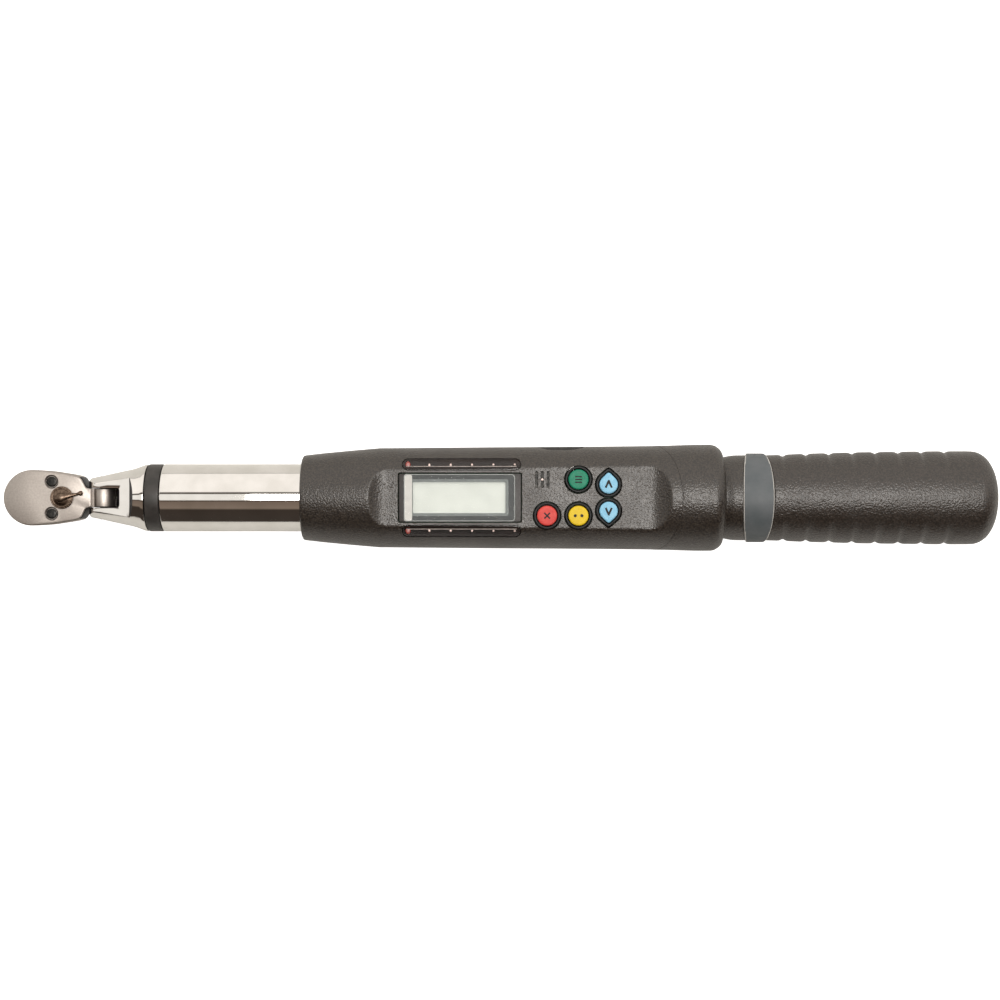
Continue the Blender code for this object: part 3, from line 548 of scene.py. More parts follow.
# %% Dress the kept pieces
KEPT = {
    GROUND: ["core_bar", "strain_beam", "tilt_plunger", "pawl", "pawl_pin", "lever_plunger", "drive_gear"],
    SPRING: ["tilt_spring", "ball_spring", "plunger_spring", "data_port", "detent_ball"],
    COPPER_FOIL: ["strain_gauge_left", "strain_gauge_right", "sensor_ribbon"],
    SOLDER_MASK: ["main_board", "led_strip_left", "led_strip_right", "light_ring_board"],
    CELL_SLEEVE: ["battery_1", "battery_2", "battery_3", "battery_4"],
    BLACK_OXIDE: ["buzzer"],
    LCD_GLASS: ["lcd_panel"],
}
KEPT[SPRING] += ["battery_contact_front", "battery_contact_rear"]
for material, nodes in KEPT.items():
    for node in nodes:
        coat(frame["nodes"][node].data, material)
print("dressed", sum(len(nodes) for nodes in KEPT.values()), "kept pieces")

# %% [markdown]
# ## Tube and isolation ring
# Both are turned parts. The tube is plain and polished, and the ring is a rubber band with rounded shoulders
# that separates it from the fork.

# %% Turn the tube and the ring
TUBE_RADIUS = 13.6
TUBE_BORE = 10.5


def sleeve(node, edge):
    start, end = span(node)
    outside = [(start, TUBE_RADIUS, edge), (end, TUBE_RADIUS, edge)]
    return turned("sleeve", soften([(start, TUBE_BORE, 0.2), *outside, (end, TUBE_BORE, 0.2)]), 160)


piece("barrel_tube_chromed", sleeve("barrel_tube", 0.4), CHROME, "root", "barrel_tube", slot="chrome")
ring_of_rubber = sleeve("isolation_ring", 0.7)
piece("isolation_ring_rubber", ring_of_rubber, NITRILE, "root", "isolation_ring", slot="black_rubber")

# %% [markdown]
# ## The fork
# A forged yoke is a cone with two flats milled on it and a slot sawn through for the head's tongue. Doing the
# same here gives the true edges: turn the cone, keep what lies inside the side outline, then cut the slot and
# the pin hole. The slot's end is a steep curve, as a saw wheel leaves it, and three thin lips under the slot
# keep dust out. The rims are rounded last, as polishing does.

# %% The fork's blank and slot
fork_start, fork_end = span("fork_yoke")
SLOT_HALF = 3.98
PIN_RADIUS, PIN_HOLE = 1.5, 1.8
cone = [(fork_start, 0, 0), (fork_start, 7.9, 0.6), (40.8, 11.75, 1.5), (45.3, 13.4, 0.8), (46.4, 13.5, 0.3)]
cone += [(46.4, 10.2, 0.1), (fork_end, 10.2, 0.3), (fork_end, 0, 0)]
blank = turned("fork", soften(cone, closed=False), 160)
half_side = [(25.6, 6.6, 2.4), (40.2, 8.55, 0.4), (42.1, 12.2, 0.3), (43.0, 15.0, 0.0), (62.0, 15.0, 0.0)]
side_view = [(fork_start - 0.5, -3.4, 0.6), (fork_start - 0.5, 3.4, 0.6)] + half_side
side_view += [(x, -z, radius) for x, z, radius in reversed(half_side)]
slot_plan = rounded((14.0, -SLOT_HALF), (36.0, SLOT_HALF), 1.3)
saw_curve = [(33.7, 0.0), (34.0, 2.4), (34.9, 5.0), (36.1, 7.4), (38.5, 20.0)]
saw_side = [(14.0, 20.0), (14.0, -20.0)] + [(x, -z) for x, z in saw_curve[:0:-1]] + saw_curve
slot_cut = machined(prism("slot", slot_plan, -THROUGH, THROUGH), (KEEP, prism("saw", saw_side, -6, 6, "Y")))
print(f"slot {2 * SLOT_HALF:.2f} mm wide")

# %% Mill the fork
lip_left = prism("lip_left", rounded((25.8, 3.45), (36.5, 4.6), 0.1), -6.5, -5.7)
lip_right = prism("lip_right", rounded((25.8, -4.6), (36.5, -3.45), 0.1), -6.5, -5.7)
lip_rear = prism("lip_rear", rounded((31.3, -4.6), (36.6, 4.6), 0.1), -6.48, -5.72)
fork_mesh = machined(
    blank,
    (KEEP, prism("side", soften(side_view), -THROUGH, THROUGH, "Y")),
    (CUT, slot_cut),
    *[(WELD, lip) for lip in (lip_left, lip_right, lip_rear)],
    drill((TILT_X, 0), PIN_HOLE, 48, -THROUGH, THROUGH, "Y"),
    drill((0, 0), 1.9, 32, 32.0, 45.2, "X"),
)
worked = solid(fork_mesh)
rims = worked.modifiers.new("rims", "BEVEL")
rims.width, rims.segments, rims.angle_limit, rims.harden_normals = 0.35 * MM, 3, math.radians(38), False
fork_mesh = finished(worked)
print("fork milled:", len(fork_mesh.polygons), "faces")

# %% Finish the fork and its pin


def fork_shadow(middle, normal):
    """Painted shade on the slot's walls and on the ramp behind each flat, where shade falls."""
    in_slot = abs(middle.y) < SLOT_HALF + 0.45 and middle.x < 38.6 and abs(normal.z) < 0.86
    on_ramp = 40.1 < middle.x < 42.8 and normal.x < -0.5
    return in_slot or on_ramp


fork_mesh = painted(fork_mesh, CHROME, PAINTED_SHADE_STEEL, fork_shadow)
piece("fork_polished", fork_mesh, None, "root", "fork_yoke", slot="chrome", sharp=40)
pin_low, pin_high = span("pivot_pin", "Y")
pin_profile = [(pin_low, 0, 0), (pin_low, PIN_RADIUS, 0.4), (pin_high, PIN_RADIUS, 0.4), (pin_high, 0, 0)]
pin = turned("pin", soften(pin_profile, closed=False), 48)
set_down(pin, Matrix.Rotation(math.pi / 2, 4, "Z"), (TILT_X, 0, 0))
piece("pivot_pin_rounded", pin, BLACK_OXIDE, "root", "pivot_pin", slot="black_steel")

# %% [markdown]
# ## The ratchet head
# Seen from above the head is a pear: a round nose, sides that draw in slowly, then shoulders that turn in an S
# down to the tongue. The body, the tongue and the drum are one forging, so they are united before the pockets
# are cut. A thin cover plate with the same outline closes it, and runs on in a short neck over the tongue.

# %% The pear
head_low, head_high = span("head_body", "Z")
plate_low, plate_high = span("cover_plate", "Z")
NOSE = 11.2
TONGUE = 3.7
DRUM = 3.85
FLANK = [(4.0, 11.1, 2.0), (7.5, 10.85, 2.0), (12.3, 10.1, 2.5), (17.2, 9.3, 2.5)]
FLANK += [(20.0, 8.5, 1.4), (21.3, 5.9, 1.6)]


def pear(inset, tail):
    """The head's plan outline, drawn in by an inset and ending in a tail."""
    flank = [(x, y - inset, radius) for x, y, radius in FLANK]
    upper = soften([(0.8, NOSE - inset, 0.0), *flank, *tail], closed=False)
    return arc((0, 0), NOSE - inset, 88, 272, 64) + [(x, -y) for x, y in upper] + upper[::-1]


print(f"head {2 * NOSE:.1f} mm wide, tongue {2 * TONGUE:.1f} mm")

# %% Forge the head
shoulder = [(22.1, TONGUE + 0.4, 0.4), (22.1, TONGUE, 0.0)]
head_blank = prism("head", pear(0.0, shoulder), head_low, head_high, bevel=0.7)
tongue_side = [(19.0, -4.2, 0), (24.5, -4.0, 1), (TILT_X, -4.4, 0)]
tongue_side += [(TILT_X, 4.4, 0), (24.5, 4.0, 1), (19.0, 4.2, 0)]
head_mesh = machined(
    head_blank,
    (WELD, prism("tongue", soften(tongue_side), -TONGUE, TONGUE, "Y")),
    (WELD, prism("drum", ring_outline((TILT_X, 0), 5.0, 96), -DRUM, DRUM, "Y", bevel=0.5)),
    drill((TILT_X, 0), PIN_HOLE, 48, -THROUGH, THROUGH, "Y"),
    drill((0, 0), 7.4, 96, -4.2, THROUGH),
    drill((0, 0), 5.3, 96, -THROUGH, 0),
    (CUT, prism("pawl_pocket", rounded((5.0, -4.7), (10.9, 4.7), 0.6), -3.9, THROUGH)),
    drill((LEVER_X, 0), 2.3, 48, -3.0, THROUGH),
)


def head_shadow(middle, normal):
    """Painted shade on the shoulders that turn in to the tongue, where shade falls beside the fork."""
    return 19.6 < middle.x < 23.2 and normal.x > 0.25 and abs(middle.y) > TONGUE - 0.2


head_mesh = painted(head_mesh, SATIN_PLATE, PAINTED_SHADE_STEEL, head_shadow)
piece("head_forging", head_mesh, None, "head", "head_body", slot="satin_steel", sharp=35)

# %% Cover plate
SCREW_X, SCREW_Y = 8.4, 6.4
SINK = [(8.0, 0), (8.0, 2.85), (6.42, 2.85), (6.0, 2.3), (5.5, 2.3), (5.5, 1.4), (4.0, 1.4), (4.0, 0)]
neck = [(22.0, 4.1, 0.9), (23.0, 3.8, 0.6), (24.2, 3.6, 0.4), (24.2, 0.3, 0.0)]
plate = prism("plate", pear(0.4, neck), plate_low, plate_high, bevel=0.28)
cuts = [drill((LEVER_X, 0), 2.6, 64, 0, THROUGH)]
cuts += [(CUT, turned("sink", SINK, 64, "Z", (SCREW_X, side * SCREW_Y))) for side in (1, -1)]
piece("cover_plate_satin", machined(plate, *cuts), SATIN_PLATE, "head", "cover_plate", slot="satin_steel")

# %% [markdown]
# ## Socket screws by Geometry Nodes
# Screws repeat, so one screw is turned and a small node tree puts a copy at each point it is given. The tree
# makes the copies real meshes and gives them their finish, because a finished piece holds no instances.

# %% The repeating tree


def repeat_tree(name, unit_object, material):
    """A tree that sets a copy of an object at every point of its input, at a named size."""
    tree = bpy.data.node_groups.new(name, "GeometryNodeTree")
    tree.interface.new_socket("Geometry", in_out="INPUT", socket_type="NodeSocketGeometry")
    size = tree.interface.new_socket("Size", in_out="INPUT", socket_type="NodeSocketFloat")
    tree.interface.new_socket("Geometry", in_out="OUTPUT", socket_type="NodeSocketGeometry")
    given = add(tree, "NodeGroupInput").outputs
    unit = add(tree, "GeometryNodeObjectInfo", None, {"Object": unit_object}).outputs["Geometry"]
    inputs = {"Points": given["Geometry"], "Instance": unit, "Scale": given["Size"]}
    copies = add(tree, "GeometryNodeInstanceOnPoints", None, inputs)
    real = add(tree, "GeometryNodeRealizeInstances", None, {"Geometry": copies.outputs[0]})
    dressed = add(tree, "GeometryNodeSetMaterial", None, {"Geometry": real.outputs[0], "Material": material})
    add(tree, "NodeGroupOutput", None, {"Geometry": dressed.outputs[0]})
    return tree, size.identifier


def repeated(name, unit_mesh, material, places, size=1.0):
    """Copies of a mesh, modelled about the tool axis's origin, at places in millimetres."""
    unit = solid(unit_mesh)
    unit.data.transform(Matrix.Translation(-ORIGIN))
    points = bpy.data.meshes.new(name)
    points.from_pydata([(x * MM, y * MM, z * MM + AXIS_Z) for x, y, z in places], [], [])
    worked = solid(points)
    tree, size_input = repeat_tree(name, unit, material)
    step = worked.modifiers.new("copies", "NODES")
    step.node_group = tree
    step[size_input] = size
    mesh = finished(worked)
    bpy.data.objects.remove(unit, do_unlink=True)
    print(f"{name}: {len(places)} copies")
    return mesh


print("repeating tree ready")

# %% One socket screw


def socket_screw(name, radius, head, shank, length, hexagon):
    """A screw with its head's top at height 0 and a hexagon socket in it."""
    rim = [(0, radius - 0.35), (-0.12, radius - 0.1), (-0.35, radius), (-head, radius)]
    profile = [(0, 0)] + rim + [(-head, shank), (-length, shank), (-length, 0)]
    socket = prism("socket", arc((0, 0), hexagon, 0, 300, 5), -head * 0.8, 5)
    return machined(turned(name, profile, 48, "Z"), (CUT, socket))


print("screw ready")

# %% Fit the screws
cover_foot, cover_top = span("cover_screw_1", "Z")
for index, side in ((1, 1), (2, -1)):
    unit = socket_screw("cover_screw", 2.1, 0.8, 1.1, cover_top - cover_foot, 1.15)
    mesh = repeated(f"cover_screw_{index}_copy", unit, BLACK_OXIDE, [(SCREW_X, side * SCREW_Y, cover_top)])
    piece(f"cover_screw_{index}_socket", mesh, None, "head", f"cover_screw_{index}", slot="black_steel")
names = [f"housing_screw_{index}" for index in range(1, 5)]
housing_spots = [(sum(span(node)) / 2, sum(span(node, "Y")) / 2) for node in names]
screw_low, screw_high = span(names[0], "Z")
unit = socket_screw("housing_screw", 2.2, 1.8, 1.2, screw_high - screw_low, 1.1)
set_down(unit, Matrix.Rotation(math.pi, 4, "X"))
mesh = repeated("housing_screws", unit, BLACK_OXIDE, [(x, y, screw_low) for x, y in housing_spots])
piece("housing_screws_socket", mesh, None, "root", *names, slot="black_steel")

# %% [markdown]
# ## The reversing lever
# A stepped boss is turned, then a spoon-shaped arm grows from its hub and ends in a small ball with a dimple.
# The arm is skinned through a few oval sections that shrink along it.

# %% Shape the lever
lever_top = span("reversing_lever", "Z")[1]
LEVER_ANGLE = math.radians(13)
LEVER_REACH = 7.95
boss_steps = [(lever_top - 0.4, 0, 0), (lever_top - 0.45, 1.9, 0.6), (8.1, 2.9, 0.4), (7.9, 3.4, 0.1)]
boss_steps += [(8.05, 3.65, 0.1), (7.95, 3.95, 0.1), (7.7, 4.0, 0.1), (7.75, 4.35, 0.15)]
boss_steps += [(7.5, 4.55, 0.2), (6.75, 4.55, 0.1)]
boss_steps += [(6.75, 2.0, 0.1), (-2.5, 2.0, 0.2), (-2.5, 0, 0)]
boss = turned("boss", soften(boss_steps, closed=False), 96, "Z", (LEVER_X, 0))
sections = [(-2.0, 1.0, 0.7), (-1.2, 1.9, 0.95), (0.2, 1.95, 1.0), (2.0, 1.25, 0.85), (4.0, 0.85, 0.6)]
sections += [(6.0, 0.6, 0.5), (7.0, 0.62, 0.5), (7.4, 0.9, 0.7), (7.9, 1.0, 0.8), (8.4, 0.9, 0.7), (8.75, 0.4, 0.3)]
loops = []
for along, half_width, half_height in sections:
    middle = lever_top - 0.55 - 0.09 * max(along, 0)
    oval = arc((0, 0), 1, 0, 345, 23)
    loops.append([(LEVER_X + along, y * half_width, middle + z * half_height) for y, z in oval])
lever_mesh = machined(
    boss,
    (WELD, lofted("arm", loops)),
    drill((LEVER_X + LEVER_REACH, 0), 0.45, 24, 8.35, 12),
    drill((0, 0), 1.2, 32, LEVER_X - 4, LEVER_X + 0.9, "X"),
)
pivot = Matrix.Translation((LEVER_X * MM, 0, 0))
lever_mesh.transform(pivot @ Matrix.Rotation(LEVER_ANGLE, 4, "Z") @ pivot.inverted())
piece("reversing_lever_turned", lever_mesh, BROWNED, "lever", "reversing_lever", slot="satin_steel", sharp=38)

# %% [markdown]
# ## The housing as a rule
# The two shells are one smooth body: a round that grows along X, a sunken flat for the display on top, scoops
# that lead down to it, and a flat underneath to rest on. A grid of points follows that rule, so the soft edge
# where the flat meets the round comes from a smooth minimum, as a mould's radius does.

# %% The rule of the housing
PANEL = 16.5
REST = -19.2
STATIONS_X = (108.8, 108.95, 109.3, 110.0, 117.0, 127.5, 139.6, 188.0, 229.0, 250.0, 262.0)
STATIONS_R = (16.3, 16.75, 17.05, 17.2, 18.0, 19.0, 20.05, 20.45, 20.7, 20.95, 21.05)


def smooth_min(a, b, width):
    """The smaller of two heights, with a soft corner where they cross."""
    mix = np.clip(0.5 + 0.5 * (b - a) / width, 0, 1)
    return float(b * (1 - mix) + a * mix - width * mix * (1 - mix))


def panel_height(x):
    """The height of the sunken flat, with a concave scoop at each end."""
    front = np.clip((144.2 - x) / 8.4, 0, None)
    rear = np.clip((x - 246.8) / 9.2, 0, None)
    return float(PANEL + 3.8 * front**2.4 + 4.8 * rear**2.4)


def flattened(z):
    """A height below the axis, kept above the flat that the tool rests on."""
    return -smooth_min(-z, -REST, 0.4) if z < 0 else z


def housing_point(x, angle):
    radius = np.interp(x, STATIONS_X, STATIONS_R)
    y, z = radius * math.cos(angle), radius * math.sin(angle)
    return y, smooth_min(z, panel_height(x), 0.7) if z > 0 else flattened(z)


print("housing rule: radius", STATIONS_R[0], "to", STATIONS_R[-1], "mm")

# %% Two half bodies
SEAM_X, SEAM_LEAN = 249.65, 0.488
SPLIT = 0.15
LAST_UPRIGHT = 236.0  # from here on the sections lean over to the slant of the seam


def half_body(name, side):
    """The closed upper (side 1) or lower (side -1) half of the housing, up to its slanted seam."""
    runs = [(108.8, 110.8, 8), (112, 132.5, 9), (133.5, 144.5, 34), (147, LAST_UPRIGHT, 30)]
    angles = np.linspace(0.0, math.pi, 221)
    loops = []
    for x in np.concatenate([np.linspace(*run) for run in runs]):
        loops.append([(x, *housing_point(x, side * a)) for a in angles])
    for t in np.linspace(0, 1, 66)[1:]:
        ends = [SEAM_X + SEAM_LEAN * max(21.0 * side * math.sin(a), REST) for a in angles]
        places = [LAST_UPRIGHT * (1 - t) + end * t for end in ends]
        loops.append([(x, *housing_point(x, side * a)) for x, a in zip(places, angles)])
    return lofted(name, [[(x, y, side * max(side * z, SPLIT)) for x, y, z in loop] for loop in loops])


upper_form, lower_form = half_body("upper", 1), half_body("lower", -1)
print("half bodies:", len(upper_form.polygons), "and", len(lower_form.polygons), "faces")

# %% [markdown]
# ## Keypad outlines
# Three round keys and two teardrops share one set of outlines. The housing's holes, the dark collars and the
# keys are the same outlines, grown or shrunk, so the gaps stay even all the way round.

# %% Key outlines
ARROW_X, ARROW_Y = 231.1, 5.2
KEY_SPOTS = {"mode_key": (219.2, 7.2), "clear_key": (206.8, -7.1), "unit_key": (219.2, -7.1)}
HOLE_SIZE = (5.57, 5.3, 7.0)
COLLAR_SIZE, COLLAR_BORE = (5.27, 5.0, 6.6), (4.25, 3.9, 5.5)
FACE_SIZE = (3.95, 3.6, 5.1)


def teardrop(radius, tip, side):
    half = math.degrees(math.acos(radius / tip))
    body = arc((0, 0), radius, 90 + half, 450 - half, 56)
    point = soften([(*body[-1], 0), (0, tip, 1.2), (*body[0], 0)], closed=False)
    return [(ARROW_X + x, side * (ARROW_Y + y)) for x, y in body[:-1] + point[:-1]]


def key_outline(name, size):
    """A key's outline at a size: the round keys' radius, then the teardrops' radius and tip."""
    round_radius, arrow_radius, arrow_tip = size
    if name in KEY_SPOTS:
        return ring_outline(KEY_SPOTS[name], round_radius)
    return teardrop(arrow_radius, arrow_tip, 1 if name == "up_key" else -1)


def inset(outline, amount):
    """An outline moved inwards by an amount, or outwards where it is negative."""
    count = len(outline)
    area = sum(a[0] * b[1] - b[0] * a[1] for a, b in zip(outline, outline[1:] + outline[:1]))
    turn_sign = 1 if area > 0 else -1
    result = []
    for index, point in enumerate(outline):
        before, after = Vector(outline[index - 1]), Vector(outline[(index + 1) % count])
        along = (after - before).normalized()
        result.append((point[0] - along.y * amount * turn_sign, point[1] + along.x * amount * turn_sign))
    return result


print("key outlines:", ", ".join(KEYS))

# %% [markdown]
# ## Cutting the upper shell
# The half body is hollowed, then the display recess, the LED channels, the key holes and the buzzer slots are
# cut. Every hole in the flat has a small chamfer that catches the light.

# %% Cutters for the shells
ROOF, FLOOR = 14.3, -17.0
NARROW, WIDE = 10.5, 17.0
BAR_X, BAR_Y = (149.6, 196.4), (11.0, 15.4)
SLOTS_X = (202.7, 204.9, 207.2)
BELOW = 12  # every hole in the flat starts this high, inside the hollow


def cavity():
    """The hollow inside both shells: narrow at both ends, where the screws stand."""
    plan = [(113, NARROW), (141, NARROW), (141, WIDE), (236.5, WIDE), (236.5, NARROW), (263, NARROW)]
    outline = plan + [(x, -y) for x, y in reversed(plan)]
    inner = turned("inner", [(113, 0), (113, 14.9), (139.6, 17.8), (263, 18.8), (263, 0)], 96)
    return machined(prism("hollow", outline, FLOOR, ROOF), (KEEP, inner))


def sunk_hole(outline, chamfer=0.22):
    """A cutter through the flat, with a small chamfer at the surface."""
    flare = inset(outline, -chamfer)
    levels = [(outline, BELOW), (outline, PANEL - chamfer), (flare, PANEL + 0.03), (flare, PANEL + BELOW)]
    return stepped("sunk_hole", levels)


def bar_outline(side, grow=0.0):
    low, high = sorted((side * BAR_Y[0], side * BAR_Y[1]))
    return pill((BAR_X[0], low), (BAR_X[1], high), grow)


def port_outline(grow):
    low, high = span("port_cover", "X"), span("port_cover", "Z")
    return pill((low[0], high[0]), (low[1], high[1]), grow)


hollow = cavity()
tube_bore = turned("tube_bore", [(100, 0), (100, 13.9), (118.3, 13.9), (118.3, 0)], 128)
port_cut = (CUT, prism("port", port_outline(0.3), 10, 30, "Y"))
print("hollow from", FLOOR, "to", ROOF, "mm")

# %% Upper shell
flat_cuts = [sunk_hole(rounded((147.9, -9.85), (196.8, 9.85), 0.9))]
flat_cuts += [sunk_hole(rounded((x - 0.45, 4.0), (x + 0.45, 10.4), 0.4), 0.15) for x in SLOTS_X]
flat_cuts += [sunk_hole(key_outline(name, HOLE_SIZE)) for name in KEYS if name != "down_key"]
upper_mesh = machined(
    upper_form,
    (CUT, hollow),
    (CUT, tube_bore),
    (CUT, joined("flat_cuts", flat_cuts)),
    (CUT, sunk_hole(key_outline("down_key", HOLE_SIZE))),
    (CUT, prism("bar_left", bar_outline(1, 0.25), 8, 30)),
    (CUT, prism("bar_right", bar_outline(-1, 0.25), 8, 30)),
    port_cut,
)
piece("upper_shell_moulded", upper_mesh, ABS, "root", "upper_housing", slot="housing_plastic", sharp=28)

# %% Buzzer disc, a painted glint
# A small pale disc in the middle buzzer slot is a painted glint, for light shining off the buzzer there.
disc_profile = soften([(14.6, 0, 0), (14.6, 0.44, 0), (16.4, 0.44, 0.08), (16.4, 0, 0)], closed=False)
disc = turned("disc", disc_profile, 32, "Z", (SLOTS_X[1], 7.2))
piece("buzzer_disc_button", disc, LED_LENS, "root", slot="satin_steel")

# %% [markdown]
# ## The lower shell
# The other half body has the same hollow, and an opening for the battery door. A stepped bore goes up to each
# screw, so the screws sit deep below the surface.

# %% Lower shell
SCREW_BORE = [(1, 0), (1, 1.5), (-10.9, 1.5), (-10.9, 2.5), (-30, 2.5), (-30, 0)]
door_x, door_y = span("battery_door", "X"), span("battery_door", "Y")
opening = rounded((door_x[0] - 0.3, door_y[0] - 0.3), (door_x[1] + 0.3, door_y[1] + 0.3), 0.4)
screw_holes = [turned("bore", SCREW_BORE, 32, "Z", spot) for spot in housing_spots]
lower_mesh = machined(
    lower_form,
    (CUT, hollow),
    (CUT, tube_bore),
    (CUT, prism("opening", opening, -30, -15)),
    port_cut,
    (CUT, joined("screw_holes", screw_holes)),
)
piece("lower_shell_moulded", lower_mesh, ABS, "root", "lower_housing", slot="housing_plastic", sharp=28)

# %% [markdown]
# ## Battery door and port cover
# Both continue the body's own surface, so each is that body cut down to the door's or the cover's outline, then
# set a hair below the surface around it. The door gets three finger ribs by its free end.

# %% Battery door
door_low, door_high = span("battery_door", "Z")
door_plan = rounded((door_x[0], door_y[0]), (door_x[1], door_y[1]), 0.4)
door = machined(prism("door", door_plan, door_low - 1.0, door_high), (KEEP, lower_form))
door.transform(Matrix.Translation((0, 0, (door_low - REST) * MM)))
rib_starts = [229 - 2.2 * index for index in range(3)]
ribs = [prism("rib", rounded((x, -5.0), (x + 1, 5.0), 0.45), -30, door_low + 0.5) for x in rib_starts]
door = machined(door, (KEEP, prism("limit", door_plan, door_low - 5, door_high)), (CUT, joined("ribs", ribs)))
piece("battery_door_moulded", door, ABS, "battery_door", "battery_door", slot="housing_plastic", sharp=28)

# %% Port cover
cover_y = span("port_cover", "Y")
whole = turned("round", [(150, 0), (150, 20.2), (240, 20.76), (240, 0)], 256)
cover = machined(prism("cover", port_outline(0.0), cover_y[0], cover_y[1] + 2, "Y"), (KEEP, whole))
round_rims(cover, 0.25, 40)
piece("port_cover_moulded", cover, PORT_RUBBER, "port_cover", "port_cover", slot="black_rubber")

# %% [markdown]
# ## Rear collar
# The collar is turned with soft shoulders and a slim neck. It is cut at the slant of the seam in front and at
# the slant of the light ring behind, and flattened underneath like the shells.

# %% Turn the collar
RING_LEAN, GRIP_LEAN = -0.179, 0.123
BORE = 8.2
SHOULDER, NECK, NECK_END = 262, 279, 287.4
seam = SEAM_X + 0.3


def collar_lean(along):
    """How much a ring slants: as the seam in front, upright over the shoulder, as the light ring behind."""
    if along < SHOULDER:
        return SEAM_LEAN * min(1.0, (SHOULDER - along) / (SHOULDER - SEAM_X))
    return RING_LEAN * max(0.0, (along - NECK) / (NECK_END - NECK))


outer = [(seam, 21.0, 0.3), (256.0, 21.1, 0), (262.0, 21.3, 0), (267.0, 21.45, 2), (274.5, 21.45, 2.2)]
outer += [(277.3, 19.3, 1.4), (277.7, 16.3, 0.5), (281.6, 17.15, 2.0), (NECK_END, 17.2, 0.3)]
inner = [(NECK_END, BORE, 0.2), (274.0, BORE, 0.3), (272.5, 17.6, 0.3), (seam, 17.6, 0.2)]
collar = turned("collar", soften(outer + inner, steps=8), 220, lean=collar_lean)
for vert in collar.vertices:
    vert.co.z = AXIS_Z + flattened((vert.co.z - AXIS_Z) / MM) * MM
piece("rear_collar_moulded", collar, ABS, "root", "rear_collar", slot="housing_plastic", sharp=35)

# %% [markdown]
# ## Light ring
# The ring is a milky band, wide on top and narrow below, because both of its faces slant. Its rims are rounded
# and have a pale finish, a painted highlight for the line of light along each rim.

# %% Turn the light ring
RING_FRONT, RING_REAR = 287.45, 294.45
RING_RADIUS, RING_BORE = 17.95, 14.5


def ring_lean(along):
    share = (along - RING_FRONT) / (RING_REAR - RING_FRONT)
    return RING_LEAN * (1 - share) + GRIP_LEAN * share


def ring_rim(middle, normal):
    """The rounded rims, which get a pale painted highlight for the line of light along them."""
    return abs(normal.x) > 0.22 and math.hypot(middle.y, middle.z) > RING_RADIUS - 0.6


ring_profile = [(RING_FRONT, RING_BORE, 0.2), (RING_FRONT, RING_RADIUS, 0.55)]
ring_profile += [(RING_REAR, RING_RADIUS, 0.55), (RING_REAR, RING_BORE, 0.2)]
light_ring = turned("ring", soften(ring_profile, steps=6), 220, lean=ring_lean)
light_ring = painted(light_ring, MILKY, RING_RIM_HIGHLIGHT, ring_rim)
piece("light_ring_milky", light_ring, None, "root", "light_ring", slot="frosted_plastic", sharp=40)

# %% [markdown]
# ## The grip as a rule, in Geometry Nodes
# The grip follows a rule: a waisted round with finger grooves at an even pitch, deep on its two sides and gone
# on top and below, each bowed like a thumbnail. A node tree moves the points of a plain turned grip by that
# rule, so its pitch, depth and width stay live sizes until it is finished.

# %% The groove tree


def groove_tree():
    tree = bpy.data.node_groups.new("thumb_grooves", "GeometryNodeTree")
    tree.interface.new_socket("Geometry", in_out="INPUT", socket_type="NodeSocketGeometry")
    sizes = {}
    for label in ("First", "Last", "Pitch", "Depth", "Half Width", "Bow"):
        socket = tree.interface.new_socket(label, in_out="INPUT", socket_type="NodeSocketFloat")
        sizes[label] = socket.identifier
    tree.interface.new_socket("Geometry", in_out="OUTPUT", socket_type="NodeSocketGeometry")
    given = add(tree, "NodeGroupInput").outputs

    def maths(operation, a, b=0.0):
        return add(tree, "ShaderNodeMath", {"operation": operation}, {0: a, 1: b}).outputs[0]

    def times(a, b):
        return maths("MULTIPLY", a, b)

    position = add(tree, "GeometryNodeInputPosition").outputs[0]
    place = add(tree, "ShaderNodeSeparateXYZ", None, {0: position}).outputs
    up = maths("SUBTRACT", place["Z"], AXIS_Z)
    radius = maths("SQRT", maths("ADD", times(place["Y"], place["Y"]), times(up, up)))
    safe_radius = maths("MAXIMUM", radius, 1e-6)
    sideways = maths("DIVIDE", maths("ABSOLUTE", place["Y"]), safe_radius)
    bowed = maths("ADD", place["X"], times(maths("SUBTRACT", 1.0, sideways), given["Bow"]))
    along = maths("SUBTRACT", bowed, given["First"])
    reach = maths("SUBTRACT", given["Last"], given["First"])
    nearest = times(maths("ROUND", maths("DIVIDE", along, given["Pitch"])), given["Pitch"])
    nearest = maths("MINIMUM", maths("MAXIMUM", nearest, 0.0), reach)
    away = maths("DIVIDE", maths("SUBTRACT", along, nearest), given["Half Width"])
    bell = maths("EXPONENT", times(times(away, away), -1.0))
    fade = {"Value": sideways, "From Min": 0.38, "From Max": 0.95}
    side_share = add(tree, "ShaderNodeMapRange", {"interpolation_type": "SMOOTHSTEP"}, fade).outputs["Result"]
    sink = times(times(bell, side_share), given["Depth"])
    outside = maths("GREATER_THAN", radius, 0.012)
    scale = maths("DIVIDE", times(times(sink, outside), -1.0), safe_radius)
    offset = {"Y": times(place["Y"], scale), "Z": times(up, scale)}
    offset = add(tree, "ShaderNodeCombineXYZ", None, offset).outputs[0]
    moved = add(tree, "GeometryNodeSetPosition", None, {"Geometry": given["Geometry"], "Offset": offset})
    real = add(tree, "GeometryNodeRealizeInstances", None, {"Geometry": moved.outputs[0]})
    dressed = add(tree, "GeometryNodeSetMaterial", None, {"Geometry": real.outputs[0], "Material": GRIP_ABS})
    add(tree, "NodeGroupOutput", None, {"Geometry": dressed.outputs[0]})
    return tree, sizes


print("groove rule ready")

